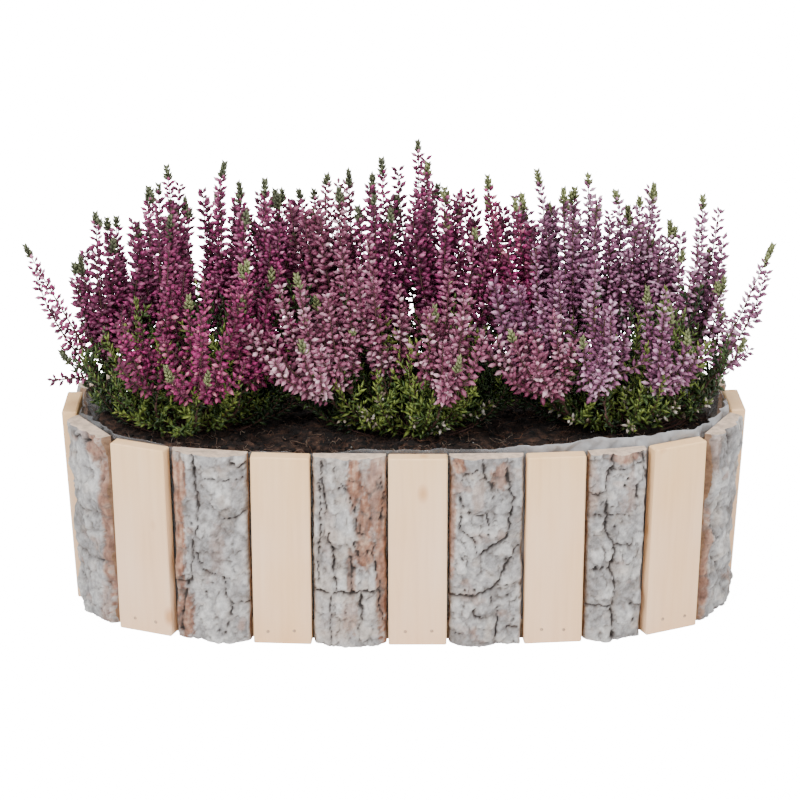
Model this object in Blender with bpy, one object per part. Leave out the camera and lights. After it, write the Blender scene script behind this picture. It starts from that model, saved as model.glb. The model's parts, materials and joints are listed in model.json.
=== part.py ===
"""Potted heather: three bud-bloomers in an oval planter of nailed wood and bark slats.

X runs along the planter, Y away from the viewer's side and Z up, with the origin at
the middle of the planter's underside.  Lengths are metres; tips and widths are mm.
"""
import math
import random

import bmesh
import bpy
import numpy as np
from mathutils import Vector, noise

MM = 0.001

# Planter
LENGTH = 0.400
DEPTH = 0.175
HEIGHT = 0.118
OVAL_POWER = 2.9
LEAN = 0.006
CLEAR = 0.0003
SLAT_SPACE = 0.0006
WOOD_WIDTH = 0.0335
WOOD_THICK = 0.0088
WOOD_EDGE = 0.0007
BARK_EDGE = 0.0065
BARK_CROWN = 0.0045
BARK_RELIEF = 0.0022
BARK_WIDTHS = (44, 35.5, 40, 38, 41, 36, 39, 42, 37, 42, 46, 44)
BARK_RAGGED = 0.0014
BARK_COLUMNS = 4
BARK_ROWS = 9
FIRST_SLAT_X = 0.008
BOARD_THICK = 0.012

# Film liner and soil
FILM = 0.0008
FILM_RISE = 0.0030
FILM_WAVE = 0.0020
END_FOLD = 0.009
SPINE = 0.105
SOIL_TOP = 0.104
SOIL_RELIEF = 0.0022
HOLE_RADIUS = 0.0093
HOLE_DEPTH = 0.014

# Plants: crown centres, and how far a stem runs towards its spray before its seat
CROWNS = {"left": (-0.124, -0.005), "middle": (0.004, -0.010), "right": (0.128, 0.000)}
CROWN_RADIUS = 0.009
SEAT_HEIGHT = 0.128
SEAT_REACH = 0.80
SEAT_LIMIT = 0.048

# Flower spikes
BUD_REACH = 0.0063
BUD_PITCH = 0.0098
BUD_RISE = 0.0026
STEM_RADIUS = 0.0012
SPACE_BETWEEN = 0.0016
FORKING = 4
ROUNDS = 150
FREE_ROUNDS = 15
PAIRS_WITHIN = 0.022

# Leafy shoots: how many, how far out (low, high) and how tall (low, high) per ring
LEAF_REACH = 0.0056
LEAF_PITCH = 0.0078
SHOOT_RINGS = ((11, 0.036, 0.045, 0.014, 0.026), (8, 0.020, 0.034, 0.030, 0.045))

# Each spray: its plant, depth of its tips in mm, and (x, z) of each tip in mm
SPRAYS = {
    "left_far_arch": ("left", -5, ((-219, 219), (-199, 154))),
    "left_outer": ("left", 8, ((-178, 235), (-191, 204), (-172, 228))),
    "left_back_outer": ("left", 38, ((-156, 219), (-168, 223), (-148, 236))),
    "left_centre": ("left", 16, ((-137, 261), (-147, 249), (-127, 238))),
    "left_back": ("left", 42, ((-125, 225), (-113, 217), (-138, 228))),
    "left_tall": ("left", 22, ((-103, 262), (-96, 250), (-109, 238))),
    "left_inner": ("left", 8, ((-80, 256), (-88, 238), (-73, 243))),
    "left_front_outer": ("left", -38, ((-133, 228), (-161, 189), (-150, 178))),
    "left_front": ("left", -52, ((-112, 215), (-136, 180), (-122, 201), (-101, 184))),
    "left_front_inner": ("left", -32, ((-89, 218), (-76, 178), (-99, 202))),
    "middle_back_left": ("middle", 38, ((-62, 239), (-71, 241), (-53, 236))),
    "middle_left": ("middle", 12, ((-44, 257), (-38, 250), (-32, 257))),
    "middle_centre": ("middle", 4, ((-13, 270), (-27, 241), (-18, 257))),
    "middle_tallest": ("middle", 28, ((8, 273), (-4, 240), (20, 243))),
    "middle_right": ("middle", 10, ((14, 265), (23, 251), (32, 235), (41, 228))),
    "middle_front_left": ("middle", -42, ((-69, 206), (-61, 215), (-50, 197), (-58, 178))),
    "middle_front": ("middle", -38, ((-35, 225), (-43, 200), (-33, 176))),
    "middle_front_low": ("middle", -30, ((-20, 232), (-3, 203), (-12, 176))),
    "middle_front_right": ("middle", -52, ((34, 206), (14, 196), (26, 218), (22, 180))),
    "right_inner": ("right", 20, ((48, 254), (64, 240), (56, 205))),
    "right_back_inner": ("right", 36, ((77, 252), (70, 238), (85, 228))),
    "right_centre": ("right", 14, ((106, 257), (92, 249), (99, 245))),
    "right_tall": ("right", 26, ((123, 242), (114, 235), (131, 230))),
    "right_back": ("right", 32, ((146, 245), (154, 223), (138, 216))),
    "right_outer": ("right", 18, ((173, 242), (164, 209), (178, 204))),
    "right_far_arch": ("right", -6, ((213, 220), (196, 164), (186, 196))),
    "right_front_inner": ("right", -28, ((75, 225), (88, 210), (62, 197))),
    "right_front": ("right", -52, ((85, 193), (60, 184), (74, 178))),
    "right_front_low": ("right", -50, ((108, 224), (116, 202), (127, 184), (101, 182))),
    "right_front_outer": ("right", -36, ((149, 200), (162, 178), (139, 201), (150, 174))),
}
ARCHING = ("left_far_arch", "right_far_arch")

COLOURS = {
    "wood": (0.80, 0.64, 0.45),
    "bark": (0.42, 0.39, 0.37),
    "board": (0.55, 0.40, 0.24),
    "film": (0.55, 0.56, 0.58),
    "soil": (0.022, 0.012, 0.009),
    "leaf": (0.10, 0.16, 0.035),
    "magenta": (0.30, 0.035, 0.14),
    "mauve": (0.40, 0.14, 0.27),
    "lilac": (0.42, 0.22, 0.40),
}
MAUVE_SPRAYS = ("middle_front_left", "middle_front", "middle_front_low", "middle_front_right",
                "middle_left", "right_inner", "right_front")


def material(name, colour, roughness):
    made = bpy.data.materials.new(name)
    made.use_nodes = True
    shader = made.node_tree.nodes["Principled BSDF"]
    shader.inputs["Base Color"].default_value = (*colour, 1.0)
    shader.inputs["Roughness"].default_value = roughness
    return made


def add_object(name, vertices, faces, look=None):
    """An object of the given faces, turned outwards, with a material of its own name."""
    mesh = bpy.data.meshes.new(name)
    mesh.from_pydata([tuple(v) for v in vertices], [], faces)
    shape = bmesh.new()
    shape.from_mesh(mesh)
    bmesh.ops.recalc_face_normals(shape, faces=shape.faces)
    shape.to_mesh(mesh)
    shape.free()
    made = bpy.data.objects.new(name, mesh)
    bpy.context.scene.collection.objects.link(made)
    if look:
        mesh.materials.append(material(name, *look))
    return made


def join(base, others, operation="UNION"):
    """Apply one Boolean of all the others to the base and remove them."""
    group = bpy.data.collections.new(base.name + "_repeats")
    bpy.context.scene.collection.children.link(group)
    for other in others:
        group.objects.link(other)
    change = base.modifiers.new("join", "BOOLEAN")
    change.operation = operation
    change.operand_type = "COLLECTION"
    change.collection = group
    graph = bpy.context.evaluated_depsgraph_get()
    result = bpy.data.meshes.new_from_object(base.evaluated_get(graph))
    base.modifiers.clear()
    old = base.data
    base.data = result
    result.name = base.name
    bpy.data.meshes.remove(old)
    for other in others:
        bpy.data.objects.remove(other, do_unlink=True)
    bpy.data.collections.remove(group)
    return base


def foot_oval(count=2880):
    """Inner outline of the slats' feet, counter-clockwise from the front centre."""
    half_x = LENGTH / 2 - LEAN - WOOD_THICK
    half_y = DEPTH / 2 - LEAN - WOOD_THICK
    points = []
    for i in range(count):
        angle = -math.pi / 2 + 2 * math.pi * i / count
        c, s = math.cos(angle), math.sin(angle)
        points.append((half_x * math.copysign(abs(c) ** (2 / OVAL_POWER), c),
                       half_y * math.copysign(abs(s) ** (2 / OVAL_POWER), s)))
    return np.array(points)


def chord_ends(widths, oval):
    """Step along the oval by chords of the given widths, a space between each two."""
    ring = np.vstack([oval, oval, oval[:1]])
    reach = np.concatenate([[0], np.cumsum(np.linalg.norm(np.diff(ring, axis=0), axis=1))])

    def at(position):
        return np.array([np.interp(position, reach, ring[:, 0]),
                         np.interp(position, reach, ring[:, 1])])

    def step(position, chord):
        start, low, high = at(position), position, position + 1.5 * chord
        for _ in range(40):
            middle = (low + high) / 2
            if np.linalg.norm(at(middle) - start) < chord:
                low = middle
            else:
                high = middle
        return high

    # The first wood slat starts half its width to the left of its own middle
    perimeter = reach[len(oval)]
    position = FIRST_SLAT_X - WOOD_WIDTH / 2 + perimeter
    ends = []
    for width in widths:
        after = step(position - perimeter if position > perimeter else position, width)
        before = position - perimeter if position > perimeter else position
        ends.append((at(before), at(after)))
        position = step(after, SLAT_SPACE)
    return ends


def slat_frames():
    """Foot corner, direction along and outward normal of each slat, and its width."""
    oval = foot_oval()
    # Bark widths are scaled alike until the slats just close the oval
    low, high = 0.8, 1.2
    for _ in range(40):
        scale = (low + high) / 2
        widths = [w for bark in BARK_WIDTHS for w in (WOOD_WIDTH, bark * MM * scale)]
        ends = chord_ends(widths, oval)
        turned = sum(math.atan2(a[0] * b[1] - a[1] * b[0], a @ b)
                     for a, b in zip([e[0] for e in ends],
                                     [e[0] for e in ends[1:]] + [ends[-1][1]]))
        if turned < 2 * math.pi - SLAT_SPACE / (DEPTH / 2):
            low = scale
        else:
            high = scale
    frames = []
    for (start, end), width in zip(ends, widths):
        along = (end - start) / np.linalg.norm(end - start)
        frames.append((start, along, np.array([along[1], -along[0]]), width))
    return frames


def slat_point(frame, along, out, z):
    start, direction, normal, _width = frame
    x, y = start + direction * along + normal * (out + LEAN * z / HEIGHT)
    return (x, y, z)


def wood_slat(name, frame):
    width = frame[3]
    corners = [(a, o, z) for z in (0, HEIGHT) for a, o in
               ((0, 0), (width, 0), (width, WOOD_THICK), (0, WOOD_THICK))]
    faces = [(0, 1, 2, 3), (4, 5, 6, 7), (0, 1, 5, 4), (1, 2, 6, 5), (2, 3, 7, 6), (3, 0, 4, 7)]
    slat = add_object(name, [slat_point(frame, *c) for c in corners], faces,
                      (COLOURS["wood"], 0.6))
    shape = bmesh.new()
    shape.from_mesh(slat.data)
    bmesh.ops.bevel(shape, geom=shape.edges[:], offset=WOOD_EDGE, segments=1,
                    affect="EDGES", profile=0.5)
    shape.to_mesh(slat.data)
    shape.free()
    return slat


def bark_slat(name, frame, seed):
    """A log's outer slab: flat back and ends, plates and cracks on the rounded face."""
    width = frame[3]
    columns, rows = BARK_COLUMNS, BARK_ROWS
    offset = Vector((seed * 3.7, seed * 1.9, 0))

    def ragged(j, side):
        """How far the slab's long edge stands in at row j, from noise."""
        return BARK_RAGGED * abs(noise.noise(Vector((side * 5.0, j * 0.8, seed * 2.3))))

    vertices, faces = [], []
    for j in range(rows + 1):
        z = HEIGHT * j / rows
        left, right = ragged(j, 0), width - ragged(j, 1)
        for i in range(columns + 1):
            share = i / columns
            crown = BARK_CROWN * (1 - (2 * share - 1) ** 2) ** 0.7
            plates = noise.noise(Vector((share * 2.6, z * 55, 0)) + offset)
            plates = max(-1.0, min(1.0, plates * 2.2)) * BARK_RELIEF
            out = BARK_EDGE + crown + plates * (0.5 if i in (0, columns) else 1.0)
            vertices.append(slat_point(frame, left + (right - left) * share, out, z))
    first_back = len(vertices)
    for j in range(rows + 1):
        z = HEIGHT * j / rows
        vertices.append(slat_point(frame, ragged(j, 0), 0, z))
        vertices.append(slat_point(frame, width - ragged(j, 1), 0, z))
    wide = columns + 1
    for j in range(rows):
        for i in range(columns):
            a = j * wide + i
            faces.append((a, a + 1, a + 1 + wide, a + wide))
        b = first_back + 2 * j
        faces.append((b, b + 1, b + 3, b + 2))
        faces.append((j * wide, (j + 1) * wide, b + 2, b))
        faces.append((j * wide + columns, b + 1, b + 3, (j + 1) * wide + columns))
    for j, b in ((0, first_back), (rows, first_back + 2 * rows)):
        faces.append(tuple(j * wide + i for i in range(wide)) + (b + 1, b))
    return add_object(name, vertices, faces, (COLOURS["bark"], 0.85))


def inner_ring(frames, z, depth, pull=None):
    """Outline at a depth inside the slats, drawn in towards the long axis by the pull."""
    corners = []
    for k, frame in enumerate(frames):
        after = frames[(k + 1) % len(frames)]
        one = np.array(slat_point(frame, frame[3], -depth, z)[:2])
        two = np.array(slat_point(after, 0, -depth, z)[:2])
        along = frame[1] + after[1]
        along /= np.linalg.norm(along)
        normal = np.array([along[1], -along[0]])
        half_turn = math.acos(min(1.0, float(along @ frame[1])))
        corner = (one + two) / 2 + normal * float((two - one) @ along) / 2 * math.tan(half_turn)
        corners.append(corner)
    if not pull:
        return corners
    points = []
    for corner in corners:
        spine = np.array([min(max(corner[0], -SPINE), SPINE), 0.0])
        inward = (spine - corner) / np.linalg.norm(spine - corner)
        points.append(corner + inward * pull(corner[0]))
    return points


def band(first, count, falling=False):
    """Triangles between two rings, their diagonals the same whether it rises or falls."""
    faces = []
    for i in range(count):
        a, b = first + i, first + (i + 1) % count
        if falling:
            faces += [(a, b, a + count), (b, b + count, a + count)]
        else:
            faces += [(a, b, b + count), (a, b + count, a + count)]
    return faces


def base_board(frames):
    ring = inner_ring(frames, 0, CLEAR)
    count = len(ring)
    vertices = [(x, y, z) for z in (0, BOARD_THICK) for x, y in ring]
    faces = [tuple(range(count)), tuple(range(count, 2 * count))]
    faces += [(i, (i + 1) % count, count + (i + 1) % count, count + i) for i in range(count)]
    return add_object("base_board", vertices, faces, (COLOURS["board"], 0.7))


def fold(z):
    """How far the film stands in from the slats: most at the ends by the soil."""
    share = z / SOIL_TOP if z <= SOIL_TOP else max(0.0, 1 - (z - SOIL_TOP) / 0.012)

    def pull(x):
        end = min(max((abs(x) - 0.120) / 0.055, 0.0), 1.0)
        return END_FOLD * share * end * end * (3 - 2 * end)
    return pull


def film_liner(frames):
    """Open vessel of plastic film, its rim standing a little over the slats in waves."""
    floor = BOARD_THICK + CLEAR
    brim = HEIGHT - 0.002

    def ring(z, depth, waves=0.0):
        made = []
        points = inner_ring(frames, z, CLEAR + depth, fold(z))
        for i, (x, y) in enumerate(points):
            wave = FILM_WAVE * math.sin(2.4 * i + 0.6)
            made.append((x, y, z + waves * (FILM_RISE + wave)))
        return made

    rings = [ring(floor, 0), ring(SOIL_TOP, 0), ring(brim, 0), ring(brim, 0, 1),
             ring(brim, FILM, 1), ring(brim, FILM), ring(SOIL_TOP, FILM)]
    rings.append([(x, y, floor + FILM) for x, y, _z in ring(floor, FILM)])
    count = len(rings[0])
    vertices = [v for one in rings for v in one]
    faces = [tuple(range(count)), tuple(range(len(vertices) - count, len(vertices)))]
    for j in range(len(rings) - 1):
        faces += band(j * count, count, falling=j > 3)
    return add_object("film_liner", vertices, faces, (COLOURS["film"], 0.35))


def soil_height(x, y):
    rough = noise.noise(Vector((x * 60, y * 60, 1.3))) + 0.6 * noise.noise(
        Vector((x * 140, y * 140, 4.1)))
    return SOIL_TOP - 0.001 + SOIL_RELIEF * rough


def soil_body(frames):
    bottom = BOARD_THICK + CLEAR + FILM + CLEAR
    depth = 2 * CLEAR + FILM
    edge_z = SOIL_TOP - 0.004
    low = [(x, y, bottom) for x, y in inner_ring(frames, bottom, depth, fold(bottom))]
    edge = inner_ring(frames, edge_z, depth, fold(edge_z))
    shares = (0.95, 0.84, 0.66, 0.46, 0.24)
    count = len(low)
    vertices = low + [(x, y, edge_z) for x, y in edge]
    for share in shares:
        for x, y in edge:
            vertices.append((x * share, y * share, soil_height(x * share, y * share)))
    vertices.append((0, 0, soil_height(0, 0)))
    faces = [tuple(range(count))]
    for j in range(len(shares) + 1):
        faces += band(j * count, count)
    last = (len(shares) + 1) * count
    faces += [(last + i, last + (i + 1) % count, len(vertices) - 1) for i in range(count)]
    body = add_object("soil", vertices, faces, (COLOURS["soil"], 1.0))
    holes = []
    for name, (x, y) in CROWNS.items():
        holes.append(prism("hole_" + name, x, y, HOLE_RADIUS, SOIL_TOP - HOLE_DEPTH,
                           SOIL_TOP + 0.02))
    return join(body, holes, "DIFFERENCE")


def prism(name, x, y, radius, low, high, sides=12):
    ring = [(x + radius * math.cos(2 * math.pi * i / sides),
             y + radius * math.sin(2 * math.pi * i / sides)) for i in range(sides)]
    vertices = [(px, py, z) for z in (low, high) for px, py in ring]
    faces = [tuple(range(sides)), tuple(range(sides, 2 * sides))]
    faces += [(i, (i + 1) % sides, sides + (i + 1) % sides, sides + i) for i in range(sides)]
    return add_object(name, vertices, faces)


def curve(start, control, end, count):
    share = np.linspace(0, 1, count)[:, None]
    return (1 - share) ** 2 * start + 2 * share * (1 - share) * control + share ** 2 * end


class Strand:
    """A stem, a flower spike or a leafy shoot: its node, centre line and fixed points."""

    def __init__(self, node, points, kind, held):
        self.node = node
        self.points = points
        self.kind = kind
        self.held = held

    def reach_along(self):
        steps = np.linalg.norm(np.diff(self.points, axis=0), axis=1)
        return np.concatenate([[0], np.cumsum(steps)])

    def bare(self):
        """Share of the strand below its lowest buds or leaves."""
        return {"stem": 1.0, "shoot": 0.25, "spike": 0.15, "low": 0.12}[self.kind]

    def radii(self):
        share = self.reach_along() / self.reach_along()[-1]
        reach = {"stem": STEM_RADIUS, "shoot": LEAF_REACH}.get(self.kind, BUD_REACH)
        full = np.where(share < self.bare() - 0.04, STEM_RADIUS * 1.3, reach * 0.95)
        return np.where(share > 0.93, full * 0.6, full)


def in_crown(root, end):
    """Where a strand leaves the crown's middle on its way to its end."""
    way = (end - root)[:2]
    return root + np.array([*(way / np.linalg.norm(way)), 0]) * CROWN_RADIUS * 0.6


def plan_strands():
    strands = []
    for plant, (cx, cy) in CROWNS.items():
        root = np.array([cx, cy, SOIL_TOP + 0.002])
        for name, (owner, depth, tips) in SPRAYS.items():
            if owner != plant:
                continue
            ends = [np.array([x * MM, depth * MM + k * 0.004 * (-1) ** k, z * MM])
                    for k, (x, z) in enumerate(tips)]
            middle = sum(ends) / len(ends)
            way = (middle - root) * SEAT_REACH
            seat = root + way * min(1.0, SEAT_LIMIT / np.linalg.norm(way[:2]))
            seat[2] = SEAT_HEIGHT
            bend = 0.5 if name in ARCHING else 0.72
            control = seat + (ends[0] - seat) * np.array([bend, bend, 0.48])
            heading = (control - seat) / np.linalg.norm(control - seat)
            stem = curve(in_crown(root, seat), seat - heading * 0.012, seat, 9)
            strands.append(Strand(plant + "_greenery", stem, "stem", 9))
            main = curve(seat + heading * 1.5 * CLEAR, control, ends[0], 16)
            strands.append(Strand(name, main, "spike", 3))
            for k, end in enumerate(ends[1:]):
                start = main[1 + k % 2]
                bend = 0.55 if name in ARCHING else 0.78
                control = start + (end - start) * np.array([bend, bend, 0.45])
                kind = "low" if end[2] < 0.19 else "spike"
                strands.append(Strand(name, curve(start, control, end, 14), kind, 1))
        chance = random.Random(plant)
        for count, near, far, low, high in SHOOT_RINGS:
            for k in range(count):
                angle = 2 * math.pi * (k + 0.5 * chance.random()) / count
                reach = chance.uniform(near, far)
                out = np.array([math.cos(angle) * 1.25, math.sin(angle) * 0.95, 0])
                foot = np.array([cx, cy, SOIL_TOP])
                end = foot + out * reach + np.array([0, 0, chance.uniform(low, high)])
                control = foot + out * reach * 0.65 + np.array([0, 0, 0.35 * low + 0.004])
                shoot = curve(in_crown(root, end), control, end, 9)
                strands.append(Strand(plant + "_greenery", shoot, "shoot", 2))
    return strands


def spread(strands):
    """Bend the strands of different nodes clear of each other, mostly in depth.

    Each round moves close points apart and, but for the last few, evens out the bends.
    """
    owner = np.concatenate([[i] * len(s.points) for i, s in enumerate(strands)])
    names = sorted({s.node for s in strands})
    label = np.array([names.index(s.node) for s in strands])[owner]
    place = np.concatenate([np.arange(len(s.points)) for s in strands])
    held = place < np.array([s.held for s in strands])[owner]
    flower = np.array([s.kind in ("spike", "low") for s in strands])[owner]
    stem = np.array([s.kind == "stem" for s in strands])[owner]
    points = np.vstack([s.points for s in strands])
    rest = points.copy()
    radius = np.concatenate([s.radii() for s in strands])
    inner = np.nonzero((place > 0) & (np.roll(place, -1) > 0))[0]
    for turn in range(ROUNDS):
        if turn % 10 == 0:
            one, two = close_pairs(points, PAIRS_WITHIN)
            seated = ((place[one] < 3) & stem[two]) | ((place[two] < 3) & stem[one])
            sisters = (label[one] == label[two]) & (owner[one] != owner[two]) & flower[one]
            keep = (label[one] != label[two]) & ~seated
            keep |= sisters & (np.minimum(place[one], place[two]) > FORKING)
            one, two = one[keep], two[keep]
            need = radius[one] + radius[two] + SPACE_BETWEEN
            lean = np.where(owner[one] > owner[two], 0.08, -0.08)
        gap = points[one] - points[two]
        distance = np.linalg.norm(gap, axis=1) + 1e-9
        short = np.maximum(need - distance, 0)
        push = gap / distance[:, None] * np.array([0.45, 1.0, 0.3])
        push[:, 1] += lean
        push *= short[:, None]
        move, hits = np.zeros_like(points), np.zeros(len(points))
        np.add.at(move, one, push)
        np.add.at(move, two, -push)
        np.add.at(hits, one, short > 0)
        np.add.at(hits, two, short > 0)
        move *= 0.45 / np.maximum(hits, 1)[:, None] ** 0.6
        move[held] = 0
        points = points + move
        if turn < ROUNDS - FREE_ROUNDS:
            drift = points - rest
            smooth = drift.copy()
            smooth[inner] = 0.5 * drift[inner] + 0.25 * (drift[inner - 1] + drift[inner + 1])
            smooth[held] = 0
            points = rest + smooth
    start = 0
    for strand in strands:
        strand.points = points[start:start + len(strand.points)]
        start += len(strand.points)


def close_pairs(points, reach):
    """Index pairs of the points that are nearer than the reach, by sorting along X."""
    order = np.argsort(points[:, 0], kind="stable")
    along = points[order, 0]
    ends = np.searchsorted(along, along + reach)
    ones, twos = [], []
    for place, end in enumerate(ends):
        others = order[place + 1:end]
        near = np.abs(points[others] - points[order[place]]).max(axis=1) < reach
        twos.append(others[near])
        ones.append(np.full(near.sum(), order[place]))
    return np.concatenate(ones), np.concatenate(twos)


def resample(points, distances):
    """Places and unit tangents at the given distances along a line of points."""
    steps = np.linalg.norm(np.diff(points, axis=0), axis=1)
    reach = np.concatenate([[0], np.cumsum(steps)])
    place = np.stack([np.interp(distances, reach, points[:, k]) for k in range(3)], axis=1)
    ahead = np.stack([np.interp(distances + 0.002, reach, points[:, k]) for k in range(3)], axis=1)
    behind = np.stack([np.interp(distances - 0.002, reach, points[:, k]) for k in range(3)],
                      axis=1)
    tangent = ahead - behind
    return place, tangent / np.linalg.norm(tangent, axis=1)[:, None]


def strand_mesh(name, strand, turn):
    """Square stem whose corners stand out in turn as buds or leaves, one pair a ring."""
    total = strand.reach_along()[-1]
    bare = total * strand.bare()
    flower = strand.kind in ("spike", "low")
    pitch = BUD_PITCH if flower else LEAF_PITCH
    reach = BUD_REACH if flower else LEAF_REACH
    stations = [0.0]
    if strand.kind == "stem":
        stations += [total * 0.5, total]
    else:
        stations.append(bare)
        room = total - bare
        rings = max(3, int(round(room / pitch)))
        stations += [bare + room * (k + 0.6) / rings * (1 - 0.06 * k / rings)
                     for k in range(rings)]
        stations.append(total)
    place, tangent = resample(strand.points, np.array(stations))
    vertices, faces = [], []
    leafy = len(stations) - 2
    for k, (point, along) in enumerate(zip(place, tangent)):
        side = np.array([0, 1.0, 0]) - along * along[1]
        side /= np.linalg.norm(side)
        cross = np.cross(along, side)
        budding = strand.kind != "stem" and k >= 2
        if k == len(stations) - 1 and strand.kind != "stem":
            vertices.append(point)
            break
        share = (k - 2) / max(leafy - 2, 1)
        size = reach * (0.82 + 0.5 * share - 0.95 * share ** 2) if budding else 0
        for corner in range(4):
            angle = turn + math.pi / 2 * corner + 0.25 * k
            radius = STEM_RADIUS * (1.15 - 0.35 * k / len(stations)) * (0.62 if k == 0 else 1)
            rise = 0.0
            if budding and (corner + k) % 2 == 0:
                radius, rise = size, BUD_RISE * size / BUD_REACH
            vertices.append(point + radius * (math.cos(angle) * side + math.sin(angle) * cross)
                            + rise * along)
    rings = (len(vertices) - 1) // 4 if strand.kind != "stem" else len(vertices) // 4
    for k in range(rings - 1):
        for corner in range(4):
            a, b = 4 * k + corner, 4 * k + (corner + 1) % 4
            if (corner + k) % 2 == 0:
                faces += [(a, b, a + 4), (b, b + 4, a + 4)]
            else:
                faces += [(a, b, b + 4), (a, b + 4, a + 4)]
    faces.append((3, 2, 1, 0))
    top = 4 * (rings - 1)
    if strand.kind == "stem":
        faces.append((top, top + 1, top + 2, top + 3))
    else:
        faces += [(top + i, top + (i + 1) % 4, len(vertices) - 1) for i in range(4)]
    return add_object(name, vertices, faces)


def build_plants(strands):
    chance = random.Random(11)
    for plant, (x, y) in CROWNS.items():
        name = plant + "_greenery"
        base = prism(name, x, y, CROWN_RADIUS, SOIL_TOP - HOLE_DEPTH + CLEAR, SOIL_TOP + 0.006)
        base.data.materials.append(material(name, COLOURS["leaf"], 0.6))
        join(base, [strand_mesh(f"{name}_{i}", s, chance.uniform(0, 1.5))
                    for i, s in enumerate(strands) if s.node == name])
    for name, (plant, _depth, _tips) in SPRAYS.items():
        own = [s for s in strands if s.node == name]
        base = strand_mesh(name, own[0], chance.uniform(0, 1.5))
        colour = "magenta" if plant != "right" else "lilac"
        if name in MAUVE_SPRAYS:
            colour = "mauve"
        base.data.materials.append(material(name, COLOURS[colour], 0.6))
        join(base, [strand_mesh(f"{name}_{i}", s, chance.uniform(0, 1.5))
                    for i, s in enumerate(own[1:])])


def main():
    """Clear the scene and build every piece in its place."""
    for old in list(bpy.data.objects):
        bpy.data.objects.remove(old, do_unlink=True)
    frames = slat_frames()
    for k, frame in enumerate(frames):
        if k % 2 == 0:
            wood_slat(f"wood_slat_{k // 2 + 1:02d}", frame)
        else:
            bark_slat(f"bark_slat_{k // 2 + 1:02d}", frame, k)
    base_board(frames)
    film_liner(frames)
    soil_body(frames)
    strands = plan_strands()
    spread(strands)
    build_plants(strands)


main()
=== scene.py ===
"""Looks of the potted heather: budded spikes, leafy shoots, bark, planed slats, film and peat.

X runs along the planter, Y away from the viewer and Z up, in metres, as in the solids.
Spikes and shoots follow the same centre lines as the solids that they replace.
"""
import json
import math
import random

import bpy
import numpy as np
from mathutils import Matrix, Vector, noise

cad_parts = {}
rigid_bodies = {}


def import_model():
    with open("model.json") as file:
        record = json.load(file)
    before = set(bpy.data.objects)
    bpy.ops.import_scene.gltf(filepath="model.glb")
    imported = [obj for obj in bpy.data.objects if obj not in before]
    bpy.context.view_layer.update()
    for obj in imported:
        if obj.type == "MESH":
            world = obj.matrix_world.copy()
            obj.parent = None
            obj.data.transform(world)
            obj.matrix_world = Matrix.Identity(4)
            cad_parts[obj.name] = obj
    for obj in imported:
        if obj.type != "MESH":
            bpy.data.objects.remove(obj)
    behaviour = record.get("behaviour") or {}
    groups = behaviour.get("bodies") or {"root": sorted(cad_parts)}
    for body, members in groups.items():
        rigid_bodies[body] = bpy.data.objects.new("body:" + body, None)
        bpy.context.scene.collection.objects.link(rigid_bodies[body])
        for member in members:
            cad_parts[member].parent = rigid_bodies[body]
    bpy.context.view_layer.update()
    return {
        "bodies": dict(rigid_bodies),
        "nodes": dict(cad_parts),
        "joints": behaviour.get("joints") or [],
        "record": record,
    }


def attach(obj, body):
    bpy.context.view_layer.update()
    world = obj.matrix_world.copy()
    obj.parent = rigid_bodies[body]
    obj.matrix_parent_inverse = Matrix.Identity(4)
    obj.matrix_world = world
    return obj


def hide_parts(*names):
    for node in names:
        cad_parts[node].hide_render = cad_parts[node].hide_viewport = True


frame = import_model()
NODES = frame["nodes"]

MM = 0.001

# Planter, as in the solids
LENGTH = 0.400
DEPTH = 0.175
HEIGHT = 0.118
OVAL_POWER = 2.9
LEAN = 0.006
CLEAR = 0.0003
SLAT_SPACE = 0.0006
WOOD_WIDTH = 0.0335
WOOD_THICK = 0.0088
BARK_EDGE = 0.0065
BARK_CROWN = 0.0045
BARK_RELIEF = 0.0022
BARK_RAGGED = 0.0014
BARK_WIDTHS = (44, 35.5, 40, 38, 41, 36, 39, 42, 37, 42, 46, 44)
FIRST_SLAT_X = 0.008
BOARD_THICK = 0.012
FILM = 0.0008
END_FOLD = 0.009
SPINE = 0.105
SOIL_TOP = 0.104
SOIL_RELIEF = 0.0022

# Plants, as in the solids
CROWNS = {"left": (-0.124, -0.005), "middle": (0.004, -0.010), "right": (0.128, 0.000)}
CROWN_RADIUS = 0.009
SEAT_HEIGHT = 0.128
SEAT_REACH = 0.80
SEAT_LIMIT = 0.048
BUD_REACH = 0.0063
LEAF_REACH = 0.0056
STEM_RADIUS = 0.0012
SPACE_BETWEEN = 0.0016
FORKING = 4
ROUNDS = 150
FREE_ROUNDS = 15
PAIRS_WITHIN = 0.022
# Shoots in each ring: count, nearest and furthest reach, lowest and highest rise
SHOOT_RINGS = ((11, 0.036, 0.045, 0.014, 0.026), (8, 0.020, 0.034, 0.030, 0.045))
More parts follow.
